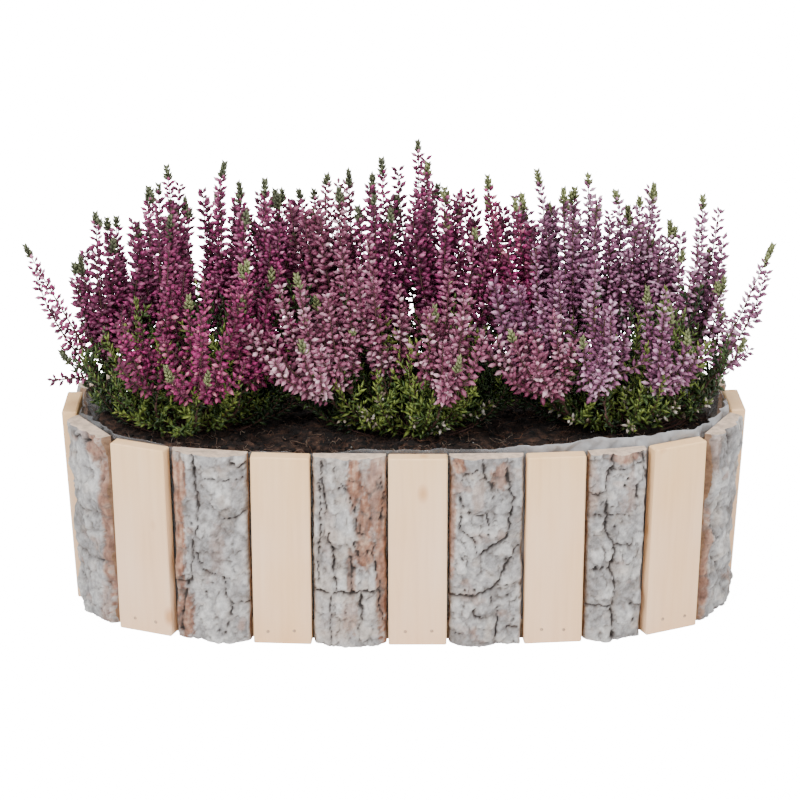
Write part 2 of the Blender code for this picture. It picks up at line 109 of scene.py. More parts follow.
# Each spray, its plant the first word of its name: depth and spike tips (x, z), in mm
SPRAYS = {
    "left_far_arch": (-5, ((-219, 219), (-199, 154))),
    "left_outer": (8, ((-178, 235), (-191, 204), (-172, 228))),
    "left_back_outer": (38, ((-156, 219), (-168, 223), (-148, 236))),
    "left_centre": (16, ((-137, 261), (-147, 249), (-127, 238))),
    "left_back": (42, ((-125, 225), (-113, 217), (-138, 228))),
    "left_tall": (22, ((-103, 262), (-96, 250), (-109, 238))),
    "left_inner": (8, ((-80, 256), (-88, 238), (-73, 243))),
    "left_front_outer": (-38, ((-133, 228), (-161, 189), (-150, 178))),
    "left_front": (-52, ((-112, 215), (-136, 180), (-122, 201), (-101, 184))),
    "left_front_inner": (-32, ((-89, 218), (-76, 178), (-99, 202))),
    "middle_back_left": (38, ((-62, 239), (-71, 241), (-53, 236))),
    "middle_left": (12, ((-44, 257), (-38, 250), (-32, 257))),
    "middle_centre": (4, ((-13, 270), (-27, 241), (-18, 257))),
    "middle_tallest": (28, ((8, 273), (-4, 240), (20, 243))),
    "middle_right": (10, ((14, 265), (23, 251), (32, 235), (41, 228))),
    "middle_front_left": (-42, ((-69, 206), (-61, 215), (-50, 197), (-58, 178))),
    "middle_front": (-38, ((-35, 225), (-43, 200), (-33, 176))),
    "middle_front_low": (-30, ((-20, 232), (-3, 203), (-12, 176))),
    "middle_front_right": (-52, ((34, 206), (14, 196), (26, 218), (22, 180))),
    "right_inner": (20, ((48, 254), (64, 240), (56, 205))),
    "right_back_inner": (36, ((77, 252), (70, 238), (85, 228))),
    "right_centre": (14, ((106, 257), (92, 249), (99, 245))),
    "right_tall": (26, ((123, 242), (114, 235), (131, 230))),
    "right_back": (32, ((146, 245), (154, 223), (138, 216))),
    "right_outer": (18, ((173, 242), (164, 209), (178, 204))),
    "right_far_arch": (-6, ((213, 220), (196, 164), (186, 196))),
    "right_front_inner": (-28, ((75, 225), (88, 210), (62, 197))),
    "right_front": (-52, ((85, 193), (60, 184), (74, 178))),
    "right_front_low": (-50, ((108, 224), (116, 202), (127, 184), (101, 182))),
    "right_front_outer": (-36, ((149, 200), (162, 178), (139, 201), (150, 174))),
}
ARCHING = ("left_far_arch", "right_far_arch")

# Buds and leaves
BUD_LENGTH = 0.0052
BUD_WIDTH = 0.0027
BUD_STEP = 0.0023
TIP_LENGTH = 0.0095
TIP_STEP = 0.0011
TIP_LEAF_LENGTH = 0.0046
TIP_LEAF_WIDTH = 0.0025
BUD_FOOT = 0.22
LEAF_LENGTH = 0.0060
LEAF_WIDTH = 0.0022
LEAF_STEP = 0.0030
TWIG_RADIUS = 0.00045
PLANTS_FROM = (-0.214, -0.080)
PLANTS_TO = (0.208, 0.080)

# Colours, linear: dark, middle and pale
BUD_TONES = {
    "magenta": ((0.12, 0.009, 0.052), (0.36, 0.026, 0.155), (0.80, 0.31, 0.50)),
    "mauve": ((0.20, 0.034, 0.085), (0.50, 0.155, 0.27), (0.98, 0.66, 0.74)),
    "lilac": ((0.19, 0.045, 0.12), (0.45, 0.165, 0.31), (0.94, 0.60, 0.79)),
    "cream": ((0.40, 0.30, 0.22), (0.80, 0.70, 0.58), (0.98, 0.92, 0.84)),
    "rose": ((0.16, 0.008, 0.060), (0.52, 0.024, 0.21), (0.86, 0.36, 0.40)),
}
TIP_GREENS = {
    "dark": ((0.040, 0.048, 0.026), (0.115, 0.130, 0.062)),
    "fresh": ((0.085, 0.100, 0.040), (0.215, 0.240, 0.092)),
}
LEAF_GREENS = ((0.010, 0.028, 0.007), (0.052, 0.100, 0.016), (0.225, 0.29, 0.048))
TWIG_BROWN = (0.10, 0.045, 0.035)


# Shared numbers: noise and centre lines

def lattice(cell, seed):
    """A repeatable value from 0 to 1 for each whole-number cell."""
    mixed = np.full(cell.shape[0], seed * 7919 + 17, dtype=np.int64)
    for k, prime in enumerate((73856093, 19349663, 83492791)):
        mixed ^= cell[:, k].astype(np.int64) * prime
    mixed = (mixed ^ (mixed >> 13)) * 1274126177 & 0xFFFFFFFF
    mixed = (mixed ^ (mixed >> 16)) * 2246822519 & 0xFFFFFFFF
    return (mixed ^ (mixed >> 15)) % 65536 / 65535.0


def value_noise(points, seed=0):
    """Smooth noise from -1 to 1 at each point of an (n, 3) array."""
    base = np.floor(points).astype(np.int64)
    part = points - base
    part = part * part * (3 - 2 * part)
    total = np.zeros(len(points))
    for corner in range(8):
        step = np.array([corner & 1, corner >> 1 & 1, corner >> 2 & 1])
        weight = np.prod(np.where(step, part, 1 - part), axis=1)
        total += weight * lattice(base + step, seed)
    return total * 2 - 1


def rough_noise(points, seed=0, octaves=4):
    total, size, most = 0, 1.0, 0.0
    for octave in range(octaves):
        total = total + size * value_noise(points * 2 ** octave, seed + octave)
        most += size
        size *= 0.5
    return total / most


def cracks(across, up, seed):
    """Distance to the nearest border between scattered cells, and each cell's own value."""
    home = np.stack([np.floor(across), np.floor(up)], axis=1).astype(np.int64)
    nearest = np.full(len(across), 9.0)
    second = np.full(len(across), 9.0)
    owner = np.zeros(len(across))
    for dx in (-1, 0, 1):
        for dy in (-1, 0, 1):
            cell = np.column_stack([home[:, 0] + dx, home[:, 1] + dy, np.zeros(len(home))])
            px = cell[:, 0] + 0.15 + 0.7 * lattice(cell, seed)
            py = cell[:, 1] + 0.15 + 0.7 * lattice(cell, seed + 5)
            gap = np.hypot(px - across, py - up)
            closer = gap < nearest
            second = np.where(closer, nearest, np.minimum(second, gap))
            owner = np.where(closer, lattice(cell, seed + 9), owner)
            nearest = np.where(closer, gap, nearest)
    return second - nearest, owner


def clip01(values):
    return np.clip(values, 0, 1)


def way_along(points):
    """Distance along a line from its first point to each of its points."""
    return np.concatenate([[0], np.cumsum(np.linalg.norm(np.diff(points, axis=0), axis=1))])


def sample(spots, reach, points):
    """Points of a line at the given distances along it."""
    return np.stack([np.interp(spots, reach, column) for column in points.T], axis=1)


def draws(chance, count, low, high):
    return np.array([chance.uniform(low, high) for _ in range(count)])


def gauss_draws(chance, count, spread):
    return np.array([chance.gauss(0, spread) for _ in range(count)])


def curve(start, control, end, count):
    share = np.linspace(0, 1, count)[:, None]
    return (1 - share) ** 2 * start + 2 * share * (1 - share) * control + share ** 2 * end


def bent(start, end, level, rise, count):
    """Curve whose middle is drawn a share of the way level, and a share of it up."""
    return curve(start, start + (end - start) * np.array([level, level, rise]), end, count)


class Strand:
    """A stem, a flower spike or a leafy shoot: its node, centre line and fixed points."""

    def __init__(self, node, points, kind, held):
        self.node, self.points, self.kind, self.held = node, points, kind, held

    def bare(self):
        """Share of the strand below its lowest buds or leaves."""
        return {"stem": 1.0, "shoot": 0.25, "spike": 0.15, "low": 0.12}[self.kind]

    def radii(self):
        reach = way_along(self.points)
        share = reach / reach[-1]
        size = {"stem": STEM_RADIUS, "shoot": LEAF_REACH}.get(self.kind, BUD_REACH)
        full = np.where(share < self.bare() - 0.04, STEM_RADIUS * 1.3, size * 0.95)
        return np.where(share > 0.93, full * 0.6, full)


def in_crown(root, end):
    """Where a strand leaves the crown's middle on its way to its end."""
    way = (end - root)[:2]
    return root + np.array([*(way / np.linalg.norm(way)), 0]) * CROWN_RADIUS * 0.6


def plan_strands():
    """Centre lines of all stems, spikes and shoots, before they are spread."""
    strands = []
    for plant, (cx, cy) in CROWNS.items():
        root = np.array([cx, cy, SOIL_TOP + 0.002])
        for name, (depth, tips) in SPRAYS.items():
            if not name.startswith(plant):
                continue
            ends = [np.array([x * MM, depth * MM + k * 0.004 * (-1) ** k, z * MM])
                    for k, (x, z) in enumerate(tips)]
            way = (sum(ends) / len(ends) - root) * SEAT_REACH
            seat = root + way * min(1.0, SEAT_LIMIT / np.linalg.norm(way[:2]))
            seat[2] = SEAT_HEIGHT
            bend, side_bend = (0.5, 0.55) if name in ARCHING else (0.72, 0.78)
            control = seat + (ends[0] - seat) * np.array([bend, bend, 0.48])
            heading = (control - seat) / np.linalg.norm(control - seat)
            stem = curve(in_crown(root, seat), seat - heading * 0.012, seat, 9)
            strands.append(Strand(plant + "_greenery", stem, "stem", 9))
            main = curve(seat + heading * 1.5 * CLEAR, control, ends[0], 16)
            strands.append(Strand(name, main, "spike", 3))
            for k, end in enumerate(ends[1:]):
                kind = "low" if end[2] < 0.19 else "spike"
                strands.append(Strand(name, bent(main[1 + k % 2], end, side_bend, 0.45, 14),
                                      kind, 1))
        chance = random.Random(plant)
        foot = np.array([cx, cy, SOIL_TOP])
        for count, near, far, low, high in SHOOT_RINGS:
            for k in range(count):
                angle = 2 * math.pi * (k + 0.5 * chance.random()) / count
                reach = chance.uniform(near, far)
                out = np.array([math.cos(angle) * 1.25, math.sin(angle) * 0.95, 0])
                end = foot + out * reach + np.array([0, 0, chance.uniform(low, high)])
                control = foot + out * reach * 0.65 + np.array([0, 0, 0.35 * low + 0.004])
                shoot = curve(in_crown(root, end), control, end, 9)
                strands.append(Strand(plant + "_greenery", shoot, "shoot", 2))
    return strands


def spread(strands):
    """Bend the strands of different nodes clear of each other, mostly in depth.

    Each round moves close points apart and, but for the last few, evens out the bends.
    """
    owner = np.concatenate([[i] * len(s.points) for i, s in enumerate(strands)])
    names = sorted({s.node for s in strands})
    label = np.array([names.index(s.node) for s in strands])[owner]
    place = np.concatenate([np.arange(len(s.points)) for s in strands])
    held = place < np.array([s.held for s in strands])[owner]
    flower = np.array([s.kind in ("spike", "low") for s in strands])[owner]
    stem = np.array([s.kind == "stem" for s in strands])[owner]
    points = np.vstack([s.points for s in strands])
    rest = points.copy()
    radius = np.concatenate([s.radii() for s in strands])
    inner = np.nonzero((place > 0) & (np.roll(place, -1) > 0))[0]
    for turn in range(ROUNDS):
        if turn % 10 == 0:
            one, two = close_pairs(points, PAIRS_WITHIN)
            seated = ((place[one] < 3) & stem[two]) | ((place[two] < 3) & stem[one])
            sisters = (label[one] == label[two]) & (owner[one] != owner[two]) & flower[one]
            keep = (label[one] != label[two]) & ~seated
            keep |= sisters & (np.minimum(place[one], place[two]) > FORKING)
            one, two = one[keep], two[keep]
            need = radius[one] + radius[two] + SPACE_BETWEEN
            lean = np.where(owner[one] > owner[two], 0.08, -0.08)
        gap = points[one] - points[two]
        distance = np.linalg.norm(gap, axis=1) + 1e-9
        short = np.maximum(need - distance, 0)
        push = gap / distance[:, None] * np.array([0.45, 1.0, 0.3])
        push[:, 1] += lean
        push *= short[:, None]
        move, hits = np.zeros_like(points), np.zeros(len(points))
        np.add.at(move, one, push)
        np.add.at(move, two, -push)
        np.add.at(hits, one, short > 0)
        np.add.at(hits, two, short > 0)
        move *= 0.45 / np.maximum(hits, 1)[:, None] ** 0.6
        move[held] = 0
        points = points + move
        if turn < ROUNDS - FREE_ROUNDS:
            drift = points - rest
            smooth = drift.copy()
            smooth[inner] = 0.5 * drift[inner] + 0.25 * (drift[inner - 1] + drift[inner + 1])
            smooth[held] = 0
            points = rest + smooth
    start = 0
    for strand in strands:
        strand.points = points[start:start + len(strand.points)]
        start += len(strand.points)


def close_pairs(points, reach):
    """Index pairs of the points that are nearer than the reach, by sorting along X."""
    order = np.argsort(points[:, 0], kind="stable")
    along = points[order, 0]
    ends = np.searchsorted(along, along + reach)
    ones, twos = [], []
    for place, end in enumerate(ends):
        others = order[place + 1:end]
        near = np.abs(points[others] - points[order[place]]).max(axis=1) < reach
        twos.append(others[near])
        ones.append(np.full(near.sum(), order[place]))
    return np.concatenate(ones), np.concatenate(twos)


def smooth_line(points, count):
    """Evenly spaced points along a line through the given ones, its corners rounded."""
    fine = points
    for _ in range(2):
        cut = np.empty((2 * len(fine), 3))
        cut[0], cut[-1] = fine[0], fine[-1]
        cut[1:-1:2] = fine[:-1] * 0.75 + fine[1:] * 0.25
        cut[2:-1:2] = fine[:-1] * 0.25 + fine[1:] * 0.75
        fine = cut
    reach = way_along(fine)
    return sample(np.linspace(0, reach[-1], count), reach, fine)


def unit(vectors):
    return vectors / np.maximum(np.linalg.norm(vectors, axis=-1, keepdims=True), 1e-12)


# Meshes

def grid_faces(rows, across, closed=False):
    """Triangles between rows of points, each row closed on itself where asked."""
    a = np.arange(across if closed else across - 1)
    starts = across * np.arange(rows - 1)[:, None]
    a, b = (starts + a).ravel(), (starts + (a + 1) % across).ravel()
    return np.vstack([np.column_stack([a, b, b + across]),
                      np.column_stack([a, b + across, a + across])])


class Batch:
    """Gathers triangles with a tint for each vertex and a material number for each face."""

    def __init__(self):
        self.points, self.tints, self.faces, self.kinds = [], [], [], []
        self.count = 0

    def add(self, points, faces, tint, kind=0):
        self.points.append(points)
        self.tints.append(np.broadcast_to(tint, (len(points), 3)))
        self.faces.append(np.asarray(faces) + self.count)
        self.kinds.append(np.full(len(faces), kind))
        self.count += len(points)

    def build(self, name, looks, replaced=()):
        points, faces = np.vstack(self.points), np.vstack(self.faces)
        mesh = bpy.data.meshes.new(name)
        mesh.vertices.add(len(points))
        mesh.vertices.foreach_set("co", points.astype(np.float32).ravel())
        mesh.loops.add(faces.size)
        mesh.loops.foreach_set("vertex_index", faces.astype(np.int32).ravel())
        mesh.polygons.add(len(faces))
        mesh.polygons.foreach_set("loop_start", np.arange(0, faces.size, 3, dtype=np.int32))
        mesh.polygons.foreach_set("material_index", np.concatenate(self.kinds).astype(np.int32))
        mesh.update(calc_edges=True)
        mesh.polygons.foreach_set("use_smooth", np.full(len(faces), True))
        tint = mesh.color_attributes.new("tint", "FLOAT_COLOR", "POINT")
        shades = np.hstack([np.vstack(self.tints), np.ones((len(points), 1))])
        tint.data.foreach_set("color", shades.astype(np.float32).ravel())
        for look in looks:
            mesh.materials.append(look)
        piece = bpy.data.objects.new(name, mesh)
        bpy.context.scene.collection.objects.link(piece)
        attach(piece, "root")
        if replaced:
            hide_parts(*replaced)


def drop_shape(sides, rings):
    """Unit teardrop along +Z as (height, x, y) rows and its triangles."""
    turns = [2 * math.pi * (k + 0.5) / sides for k in range(sides)]
    rows = [(height, radius * math.cos(turn), radius * math.sin(turn))
            for height, radius in rings for turn in turns]
    rows.append((1.0, 0.0, 0.0))
    last = (len(rings) - 1) * sides
    point = [(last + k, last + (k + 1) % sides, len(rows) - 1) for k in range(sides)]
    return np.array(rows), np.vstack([grid_faces(len(rings), sides, True), point])


BUD_SHAPE = drop_shape(5, ((0.0, 0.42), (0.48, 1.0)))
LEAF_SHAPE = drop_shape(3, ((0.0, 0.45), (0.45, 1.0)))


def add_drops(batch, shape, bases, axes, lengths, widths, low_tint, high_tint, kind, flat=1.0):
    """Place a teardrop for each base and axis; tints run from its base to its point."""
    rows, faces = shape
    up = np.where(np.abs(axes[:, 2:]) > 0.95, np.array([[1.0, 0, 0]]), np.array([[0, 0, 1.0]]))
    side = unit(np.cross(axes, up))
    over = np.cross(side, axes)
    share = rows[None, :, :1]
    along = bases[:, None] + axes[:, None] * (share * lengths[:, None, None])
    x = rows[None, :, 1] * widths[:, None] / 2
    y = rows[None, :, 2] * widths[:, None] / 2 * flat
    points = along + (side[:, None] * x[:, :, None] + over[:, None] * y[:, :, None])
    tint = low_tint[:, None] * (1 - share) + high_tint[:, None] * share
    all_faces = faces[None] + (np.arange(len(bases)) * len(rows))[:, None, None]
    batch.add(points.reshape(-1, 3), all_faces.reshape(-1, 3), tint.reshape(-1, 3), kind)


def add_tube(batch, points, radii, tint, kind, sides=5):
    tangent = unit(np.gradient(points, axis=0))
    side = unit(np.cross(tangent, np.array([0.3, 1.0, 0.1])))
    over = np.cross(tangent, side)
    turns = 2 * np.pi * np.arange(sides) / sides
    ring = (side[:, None] * np.cos(turns)[None, :, None]
            + over[:, None] * np.sin(turns)[None, :, None])
    body = points[:, None] + ring * np.asarray(radii).reshape(-1, 1, 1)
    caps = [(first, first + k, first + k + 1) for first in (0, (len(points) - 1) * sides)
            for k in range(1, sides - 1)]
    faces = np.vstack([grid_faces(len(points), sides, True), caps])
    batch.add(body.reshape(-1, 3), faces, tint, kind)


def pairs_along(points, start, end, step, chance):
    """Stations in opposite pairs along a line: places, tangents, outward ways and shares."""
    reach = way_along(points)
    total = reach[-1]
    rings = max(2, int((end - start) * total / step))
    spots = (start + (end - start) * (np.arange(rings) + 0.5) / rings) * total
    spots = spots + draws(chance, rings, -0.3, 0.3) * step
    tangent = unit(sample(spots + MM, reach, points) - sample(spots - MM, reach, points))
    side = unit(np.cross(tangent, np.array([0.25, 1.0, 0.0])))
    over = np.cross(tangent, side)
    turn = chance.uniform(0, math.pi) + np.arange(rings) * (math.pi / 2 + 0.12)
    turn = (turn + draws(chance, rings, -0.35, 0.35))[:, None]
    way = side * np.cos(turn) + over * np.sin(turn)
    return (np.tile(sample(spots, reach, points), (2, 1)), np.tile(tangent, (2, 1)),
            np.vstack([way, -way]), np.tile(spots / total, 2))


def mixed_tints(tones, values):
    """Blend three tones by values from 0 to 1."""
    dark, middle, pale = (np.array(tone) for tone in tones)
    low, high = clip01(values * 2)[:, None], clip01(values * 2 - 1)[:, None]
    return dark + (middle - dark) * low + (pale - middle) * high


BUD, LEAF, TWIG = 0, 1, 2


def blend(tint, colour, share):
    """Tints mixed with a colour by a share for each point."""
    share = share[:, None]
    return tint * (1 - share) + np.array(colour) * share


def level_way(chance, rise=0.0):
    turn = chance.uniform(0, 2 * math.pi)
    return np.array([math.cos(turn), math.sin(turn), rise])


def side_way(chance, tangent, rise=0.0):
    """A random way out of a line, square to it."""
    way = level_way(chance, rise)
    return unit(way - tangent * (way @ tangent))


def add_tip(batch, points, start, chance, greens, step=TIP_STEP):
    """The green end of a spike: thick scale leaves in four close ranks, blunt at the top."""
    places, tangents, ways, shares = pairs_along(points, start, 0.97, step, chance)
    fade = (shares - start) / (1 - start)
    axes = unit(tangents * (0.75 + 0.5 * fade[:, None]) + ways * (0.85 - 0.45 * fade[:, None]))
    low, high = (np.array(green) for green in greens)
    jitter = draws(chance, len(places), 0.6, 1.5)[:, None]
    add_drops(batch, LEAF_SHAPE, places, axes, TIP_LEAF_LENGTH * (1 - 0.25 * fade),
              TIP_LEAF_WIDTH * (1 - 0.15 * fade), low * jitter, high * jitter, LEAF)


def add_buds(batch, points, start, end, tones, brightness, chance, droop=0.0, sparse=0.0,
             swell=1.0, pale=0.0):
    """Buds in opposite pairs, level or hanging low on the spike and rising near its top."""
    end = max(end, start + 0.05)
    places, tangents, ways, shares = pairs_along(points, start, end, BUD_STEP * swell, chance)
    foot = clip01(1 - (shares - start) / (end - start) / BUD_FOOT)
    kept = np.array([chance.random() >= max(sparse, 0.6 * f) for f in foot])
    places, tangents, ways, shares, foot = (
        part[kept] for part in (places, tangents, ways, shares, foot))
    fade = clip01((shares - start) / (end - start))
    count = len(places)
    lift = 0.20 + 0.60 * fade - droop * (1 - fade) + draws(chance, count, -0.3, 0.3)
    axes = unit(ways + tangents * lift[:, None] + np.array([0, 0, -0.2]) * (1 - fade)[:, None])
    size = draws(chance, count, 0.80, 1.12) * (1.0 - 0.20 * fade ** 2)
    size = size * swell * (1 - 0.22 * foot)
    values = clip01(brightness + pale * (0.5 - fade) + gauss_draws(chance, count, 0.33))
    low = mixed_tints(tones, clip01(values - 0.5)) * 0.45
    add_drops(batch, BUD_SHAPE, places + ways * 0.0007, axes, BUD_LENGTH * size,
              BUD_WIDTH * size, low, mixed_tints(tones, values), BUD)


def add_sprig(batch, foot, way, length, tones, brightness, greens, chance):
    """A short side branch of a spike, curving up, with its own buds and green end."""
    out, up = foot + way * length * 0.45, np.array([0, 0, length])
    line = curve(foot, out + up * 0.2, out + up * 0.88, 8)
    add_tube(batch, line, np.linspace(1, 0.5, 8) * TWIG_RADIUS * 0.8, TWIG_BROWN, TWIG, 3)
    green = chance.random() < 0.06
    add_buds(batch, line, 0.10, 0.80 if green else 1.0, tones, brightness, chance)
    if green:
        add_tip(batch, line, 0.74, chance, greens)


def add_spike(batch, line, bare, low, tones, brightness, greens, chance, sparse=0.0,
              tipped=0.10, filling=False):
    """One flower spike along a line: buds, sprigs and, with the chance tipped, a green end."""
    total = way_along(line)[-1]
    tip = 1 - TIP_LENGTH * chance.uniform(0.75, 1.3) / total
    shares = np.linspace(0, 1, len(line))
    add_tube(batch, line[::2], TWIG_RADIUS * (1.9 - 1.3 * shares[::2]), TWIG_BROWN, TWIG, 3)
    budding = chance.random() >= tipped
    pale = 0.5 if low else -0.25 if tipped == 1.0 else 0.1
    add_buds(batch, line, bare, 0.995 if budding else tip + 0.01, tones, brightness, chance,
             0.25 if low else 0.1, sparse, 1.2 if filling else 1.0, pale)
    if not budding:
        add_tip(batch, line, tip - 0.01, chance, greens, TIP_STEP * (1.3 if filling else 1))
    if filling:
        return
    tangent = unit(np.gradient(line, axis=0))
    last = len(line) - 2
    sprigs = 0 if sparse else int(chance.uniform(3, 5.5) * min(1.0, total / 0.12))
    for k in range(sprigs):
        share = bare + (0.62 - bare) * (k + chance.random()) / sprigs
        spot = min(int(share * last), last)
        way = side_way(chance, tangent[spot])
        length = chance.uniform(0.012, 0.022) * (1.15 - share)
        add_sprig(batch, line[spot], way, length, tones, brightness, greens, chance)
    for k in range(0 if budding else chance.choice((0, 0, 1))):
        spot = min(int((tip - 0.02 * k) * last), last)
        way = level_way(chance)
        length = chance.uniform(0.004, 0.007)
        end = line[spot] + (way * 0.55 + tangent[spot]) * length
        side = curve(line[spot], line[spot] + way * length * 0.4, end, 5)
        add_tip(batch, side, 0.05, chance, greens)


def companion(line, apart, drop, chance, behind=0.0):
    """Another spike of the same branch: it leaves the line low down and stands beside it."""
    fork = line[chance.randint(2, len(line) // 4)]
    end = line[-1] + level_way(chance, -1) * np.array([apart, apart * 1.4, drop])
    end[1] += behind
    end[:2] = np.clip(end[:2], PLANTS_FROM, PLANTS_TO)
    return bent(fork, end, 0.8, 0.45, 36)


def add_leaves(batch, points, start, end, chance, tone):
    places, tangents, ways, shares = pairs_along(points, start, end, LEAF_STEP, chance)
    fade = (shares - start) / max(end - start, 0.01)
    axes = unit(ways * (0.9 - 0.4 * fade)[:, None] + tangents * (0.7 + 0.4 * fade)[:, None])
    size = draws(chance, len(places), 0.75, 1.2) * (1 - 0.25 * fade)
    values = tone + 0.35 * (fade - 0.5) + gauss_draws(chance, len(places), 0.15)
    high = mixed_tints(LEAF_GREENS, clip01(values))
    add_drops(batch, LEAF_SHAPE, places, axes, LEAF_LENGTH * size, LEAF_WIDTH * size,
              high * 0.65, high, LEAF)


def add_shoot(batch, line, chance, tone):
    """A leafy shoot along a line of 20 points, with five leafy side twigs."""
    add_tube(batch, line, np.linspace(1.5, 0.6, len(line)) * TWIG_RADIUS, TWIG_BROWN, TWIG, 3)
    add_leaves(batch, line, 0.2, 1.0, chance, tone)
    tangent = unit(np.gradient(line, axis=0))
    for k in range(5):
        spot = min(int((0.35 + 0.6 * (k + chance.random()) / 5) * 19), 18)
        way = side_way(chance, tangent[spot], 0.25)
        length = chance.uniform(0.009, 0.017)
        end = line[spot] + way * length * 0.7 + np.array([0, 0, length * 0.6])
        side = curve(line[spot], line[spot] + way * length * 0.5, end, 7)
        add_leaves(batch, side, 0.05, 1.0, chance, min(1.0, tone + chance.uniform(-0.05, 0.2)))


# Planter outline, as in the solids

def foot_oval(count=2880):
    """Inner outline of the slats' feet, counter-clockwise from the front centre."""
    half_x = LENGTH / 2 - LEAN - WOOD_THICK
    half_y = DEPTH / 2 - LEAN - WOOD_THICK
    points = []
    for i in range(count):
        angle = -math.pi / 2 + 2 * math.pi * i / count
        c, s = math.cos(angle), math.sin(angle)
        points.append((half_x * math.copysign(abs(c) ** (2 / OVAL_POWER), c),
                       half_y * math.copysign(abs(s) ** (2 / OVAL_POWER), s)))
    return np.array(points)


def chord_ends(widths, oval):
    """Step along the oval by chords of the given widths, a space between each two."""
    ring = np.vstack([oval, oval, oval[:1]])
    reach = way_along(ring)

    def at(position):
        return np.array([np.interp(position, reach, column) for column in ring.T])

    def step(position, chord):
        start, low, high = at(position), position, position + 1.5 * chord
        for _ in range(40):
            middle = (low + high) / 2
            if np.linalg.norm(at(middle) - start) < chord:
                low = middle
            else:
                high = middle
        return high

    # The first wood slat starts half its width to the left of its own middle
    perimeter = reach[len(oval)]
    position = FIRST_SLAT_X - WOOD_WIDTH / 2 + perimeter
    ends = []
    for width in widths:
        before = position - perimeter if position > perimeter else position
        after = step(before, width)
        ends.append((at(before), at(after)))
        position = step(after, SLAT_SPACE)
    return ends


def slat_frames():
    """Foot corner, direction along and outward normal of each slat, and its width."""
    oval = foot_oval()
    # Bark widths are scaled alike until the slats just close the oval
    low, high = 0.8, 1.2
    for _ in range(40):
        scale = (low + high) / 2
        widths = [w for bark in BARK_WIDTHS for w in (WOOD_WIDTH, bark * MM * scale)]
        ends = chord_ends(widths, oval)
        turned = sum(math.atan2(a[0] * b[1] - a[1] * b[0], a @ b)
                     for a, b in zip([e[0] for e in ends],
                                     [e[0] for e in ends[1:]] + [ends[-1][1]]))
        if turned < 2 * math.pi - SLAT_SPACE / (DEPTH / 2):
            low = scale
        else:
            high = scale
    frames = []
    for (start, end), width in zip(ends, widths):
        along = (end - start) / np.linalg.norm(end - start)
        frames.append((start, along, np.array([along[1], -along[0]]), width))
    return frames


def slat_point(frame, along, out, z):
    """Points of a slat: along its width, out from its back and at a height."""
    start, direction, normal, _width = frame
    return (start + direction * np.asarray(along)[..., None]
            + normal * np.asarray(out + LEAN * z / HEIGHT)[..., None])


def fold(x, z):
    """How far the film stands in from the slats: most at the ends by the soil."""
    share = z / SOIL_TOP if z <= SOIL_TOP else max(0.0, 1 - (z - SOIL_TOP) / 0.012)
    end = min(max((abs(x) - 0.120) / 0.055, 0.0), 1.0)
    return END_FOLD * share * end * end * (3 - 2 * end)


def wall_ring(frames, z, depth, count):
    """Evenly spaced outline at a depth inside the slats, drawn in by the film's fold."""
    corners = []
    for frame, after in zip(frames, frames[1:] + frames[:1]):
        one = slat_point(frame, frame[3], -depth, z)
        two = slat_point(after, 0, -depth, z)
        along = frame[1] + after[1]
        along /= np.linalg.norm(along)
        normal = np.array([along[1], -along[0]])
        half_turn = math.acos(min(1.0, float(along @ frame[1])))
        corner = (one + two) / 2 + normal * float((two - one) @ along) / 2 * math.tan(half_turn)
        spine = np.array([min(max(corner[0], -SPINE), SPINE), 0.0])
        inward = (spine - corner) / np.linalg.norm(spine - corner)
        corners.append(corner + inward * fold(corner[0], z))
    closed = np.array(corners + corners[:1])
    reach = way_along(closed)
    return sample(np.arange(count) / count * reach[-1], reach, closed)


def soil_height(x, y):
    rough = noise.noise(Vector((x * 60, y * 60, 1.3))) + 0.6 * noise.noise(
        Vector((x * 140, y * 140, 4.1)))
    return SOIL_TOP - 0.001 + SOIL_RELIEF * rough


# Materials

class Look:
    """A procedural material put together by short calls."""

    def __init__(self, name, roughness, colour=(0.5, 0.5, 0.5)):
        self.made = bpy.data.materials.new(name)
        self.made.use_nodes = True
        self.tree = self.made.node_tree
        self.shader = self.tree.nodes["Principled BSDF"]
        self.shader.inputs["Roughness"].default_value = roughness
        self.shader.inputs["Base Color"].default_value = (*colour, 1.0)

    def node(self, kind, inputs=None, **settings):
        made = self.tree.nodes.new("ShaderNode" + kind)
        for key, value in settings.items():
            setattr(made, key, value)
        for key, value in (inputs or {}).items():
            socket = made.inputs[key]
            if isinstance(value, bpy.types.NodeSocket):
                self.tree.links.new(value, socket)
            else:
                socket.default_value = (*value, 1.0) if socket.type == "RGBA" else value
        return made

    def place(self, scale=(1, 1, 1), shift=None):
        """Object coordinates, stretched by the scale."""
        spot = self.node("TexCoord").outputs["Object"]
        if shift:
            spot = self.node("VectorMath", {0: spot, 1: shift}, operation="ADD").outputs[0]
        return self.node("Mapping", {"Vector": spot, "Scale": scale}).outputs[0]

    def noise(self, spot, scale, detail=4, roughness=0.6):
        return self.node("TexNoise", {"Vector": spot, "Scale": scale, "Detail": detail,
                                      "Roughness": roughness}).outputs["Fac"]

    def ramp(self, value, *stops):
        made = self.node("ValToRGB", {"Fac": value})
        steps = made.color_ramp.elements
        while len(steps) < len(stops):
            steps.new(0.5)
        for step, (position, colour) in zip(steps, stops):
            step.position = position
            step.color = (*colour, 1.0)
        return made.outputs["Color"]

    def mix(self, one, two, share=1.0, how="MULTIPLY"):
        return self.node("Mix", {0: share, 6: one, 7: two}, data_type="RGBA",
                         blend_type=how).outputs[2]

    def tint(self):
        return self.node("Attribute", attribute_name="tint").outputs["Color"]

    def paint(self, colour):
        self.tree.links.new(colour, self.shader.inputs["Base Color"])

    def bump(self, height, distance, strength=1.0):
        made = self.node("Bump", {"Height": height, "Distance": distance, "Strength": strength})
        self.tree.links.new(made.outputs["Normal"], self.shader.inputs["Normal"])


